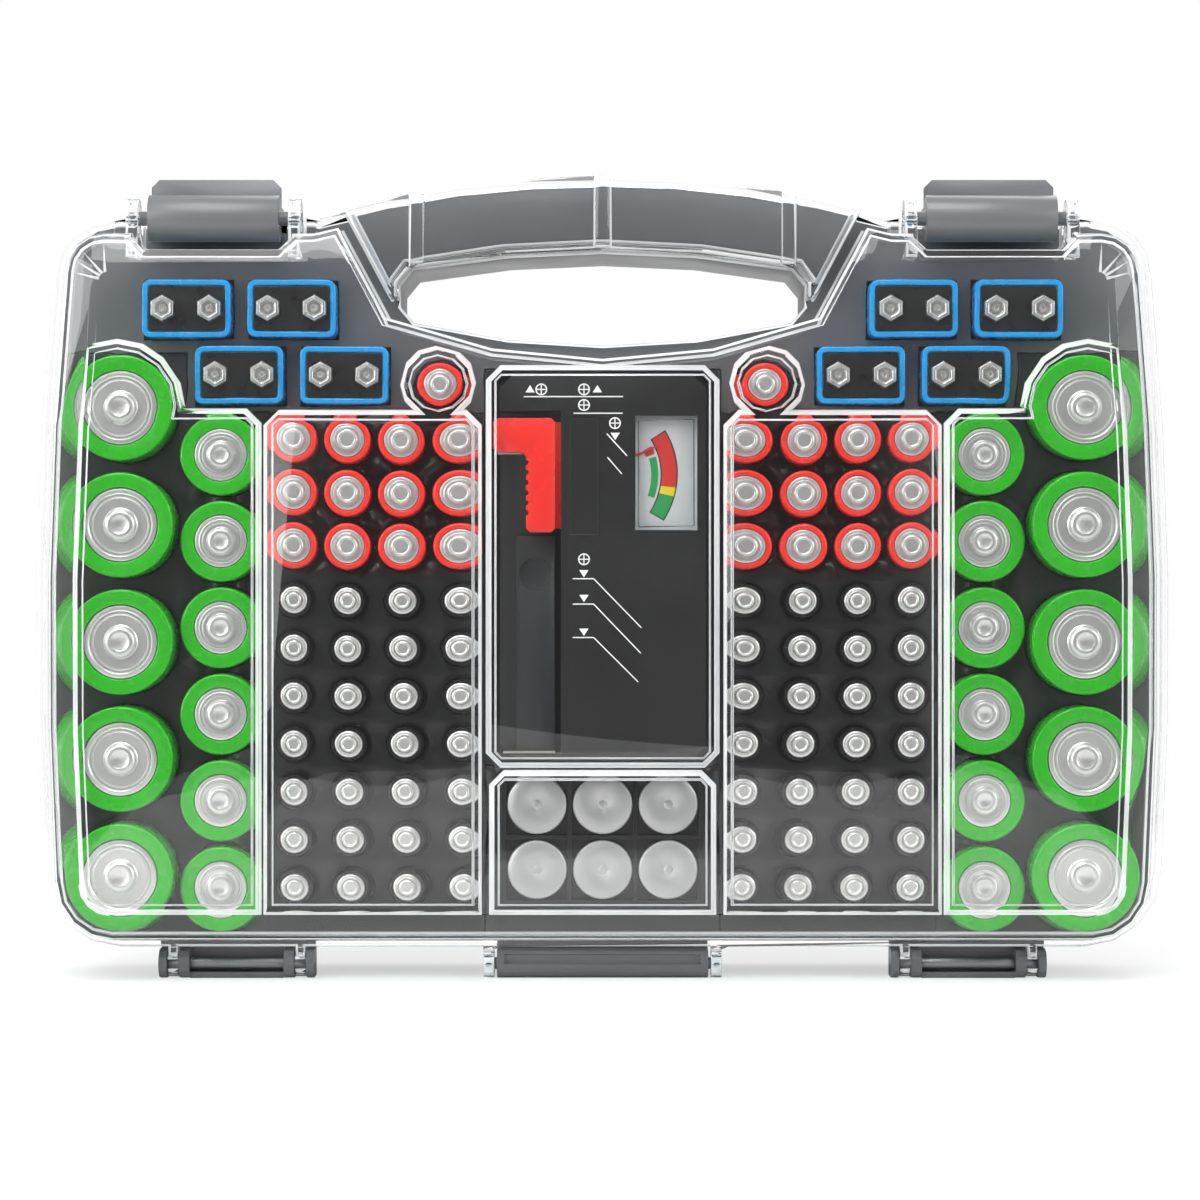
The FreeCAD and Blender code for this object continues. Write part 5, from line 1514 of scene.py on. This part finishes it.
@dataclass
class Studio:
    """White paper, soft lamps and the camera of the photograph. Sizes are in metres, apart from the camera's.

    Each lamp has its name, place, the point that it faces, size and power in watts.
    """

    eye: tuple[float, float, float] = (-0.8, -1108.0, 117.4)
    sensor: float = 36.0
    lens: float = 105.9
    air: float = 0.85
    dark: float = 0.22
    paper_size: float = 8.0
    paper_middle: float = 1.0
    paper_front: float = -0.47
    paper_bend: float = 0.8
    paper_steps: int = 8
    paper_rise: float = 3.5
    lamps: tuple[tuple[str, tuple, tuple, float, float], ...] = (
        ("soft_box_top", (-0.25, -0.75, 1.25), (0, 0, 0.12), 0.9, 13.0),
        ("soft_box_left", (-1.2, -0.9, 0.5), (0, 0, 0.12), 0.8, 9.0),
        ("soft_box_right", (1.3, -0.8, 0.6), (0, 0, 0.12), 0.8, 7.0),
        ("soft_box_back", (0.2, 1.0, 1.1), (0, 0, 0.15), 0.9, 5.0),
    )

    def floor(self) -> None:
        """A sheet of paper that runs under the case and curves up behind it."""
        clear_selection()
        bpy.ops.mesh.primitive_plane_add(size=self.paper_size, location=(0, self.paper_middle, 0))
        sheet = settle(bpy.context.object)
        mesh = sheet.data
        for vertex in mesh.vertices:
            vertex.co.y = max(vertex.co.y, self.paper_front)
        far = [vertex.co.y > self.paper_size / 2 for vertex in mesh.vertices]
        mesh.vertices.foreach_set("select", far)
        mesh.polygons.foreach_set("select", [False])
        mesh.edges.foreach_set("select", [all(far[v] for v in edge.vertices) for edge in mesh.edges])
        bpy.ops.object.mode_set(mode="EDIT")
        bpy.ops.mesh.select_mode(type="EDGE")
        for step in range(1, self.paper_steps + 1):
            turn = math.pi / 2 * step / self.paper_steps
            before = math.pi / 2 * (step - 1) / self.paper_steps
            rise = self.paper_bend * (math.cos(before) - math.cos(turn))
            run = self.paper_bend * (math.sin(turn) - math.sin(before))
            bpy.ops.mesh.extrude_edges_move(TRANSFORM_OT_translate={"value": (0, run, rise)})
        bpy.ops.mesh.extrude_edges_move(TRANSFORM_OT_translate={"value": (0, 0, self.paper_rise)})
        bpy.ops.object.mode_set(mode="OBJECT")
        smooth(sheet, 60)
        sheet.name = "paper_sweep"
        dress(sheet, StudioPaper().material())

    def lamp(
        self, name: str, place: Sequence[float], aim: Sequence[float], size: float, power: float
    ) -> None:
        """One square soft box that faces a point.

        Args:
            name: its name.
            place: where it stands.
            aim: the point that it faces.
            size: the length of its sides.
            power: its power in watts.
        """
        data = bpy.data.lights.new(name, "AREA")
        data.shape = "SQUARE"
        data.size = size
        data.energy = power
        lamp = bpy.data.objects.new(name, data)
        bpy.context.scene.collection.objects.link(lamp)
        lamp.location = place
        lamp.rotation_euler = (Vector(aim) - Vector(place)).to_track_quat("-Z", "Y").to_euler()

    def world(self) -> None:
        """An even surround, full white seen directly or through the lid, with a dark cloth behind the camera.

        The cloth keeps the lid's own reflection dark, so that the black parts behind it stay black.
        """
        world = bpy.data.worlds.new("studio_air")
        bpy.context.scene.world = world
        world.use_nodes = True
        tree = world.node_tree
        tree.nodes.clear()
        path = add_node(tree, "ShaderNodeLightPath")
        way = add_node(tree, "ShaderNodeTexCoord")
        parts = add_node(tree, "ShaderNodeSeparateXYZ", links={0: way.outputs["Generated"]})
        onward = add_node(
            tree, "ShaderNodeMath", {1: 0.0}, {0: parts.outputs["Y"]}, operation="GREATER_THAN"
        )
        through = add_node(
            tree,
            "ShaderNodeMath",
            links={0: path.outputs["Is Transmission Ray"], 1: onward.outputs[0]},
            operation="MULTIPLY",
        )
        seen = add_node(
            tree,
            "ShaderNodeMath",
            links={0: path.outputs["Is Camera Ray"], 1: through.outputs[0]},
            operation="MAXIMUM",
        )
        air = add_node(
            tree,
            "ShaderNodeMapRange",
            {"From Min": -0.95, "From Max": -0.7, "To Min": self.dark, "To Max": self.air},
            {"Value": parts.outputs["Y"]},
            interpolation_type="SMOOTHSTEP",
        )
        strength = add_node(tree, "ShaderNodeMix", {3: 1.0}, {0: seen.outputs[0], 2: air.outputs["Result"]})
        ground = add_node(
            tree, "ShaderNodeBackground", {"Color": linear("ffffff")}, {"Strength": strength.outputs[0]}
        )
        add_node(tree, "ShaderNodeOutputWorld", links={"Surface": ground.outputs["Background"]})

    def camera(self) -> None:
        """The camera at the photograph's place, level with the middle of the case."""
        data = bpy.data.cameras.new("photo_camera")
        data.sensor_width = self.sensor
        data.lens = self.lens
        data.clip_end = 50.0
        camera = bpy.data.objects.new("photo_camera", data)
        bpy.context.scene.collection.objects.link(camera)
        camera.location = [v * MM for v in self.eye]
        camera.rotation_euler = (math.pi / 2, 0, 0)
        bpy.context.scene.camera = camera

    def build(self) -> None:
        """Sets up the studio."""
        self.floor()
        self.world()
        for lamp in self.lamps:
            self.lamp(*lamp)
        self.camera()
        bpy.context.scene.view_settings.view_transform = "Standard"


def main() -> None:
    """Builds the finishes, the pieces and the studio in order."""
    logging.basicConfig(level=logging.INFO, format="%(name)s: %(message)s")
    finishes = Finishes()
    stock = CellStock()
    KeptNodes().build(finishes)
    stock.build(finishes)
    NineVoltCells().build(finishes)
    ButtonCells().build(finishes)
    WellMouths().build(finishes, stock)
    TesterSlot().build(finishes)
    TesterSigns().build(finishes)
    DialBands().build(finishes)
    ClearLid().build(finishes)
    Studio().build()
    clear_selection()


if __name__ == "__main__":
    main()
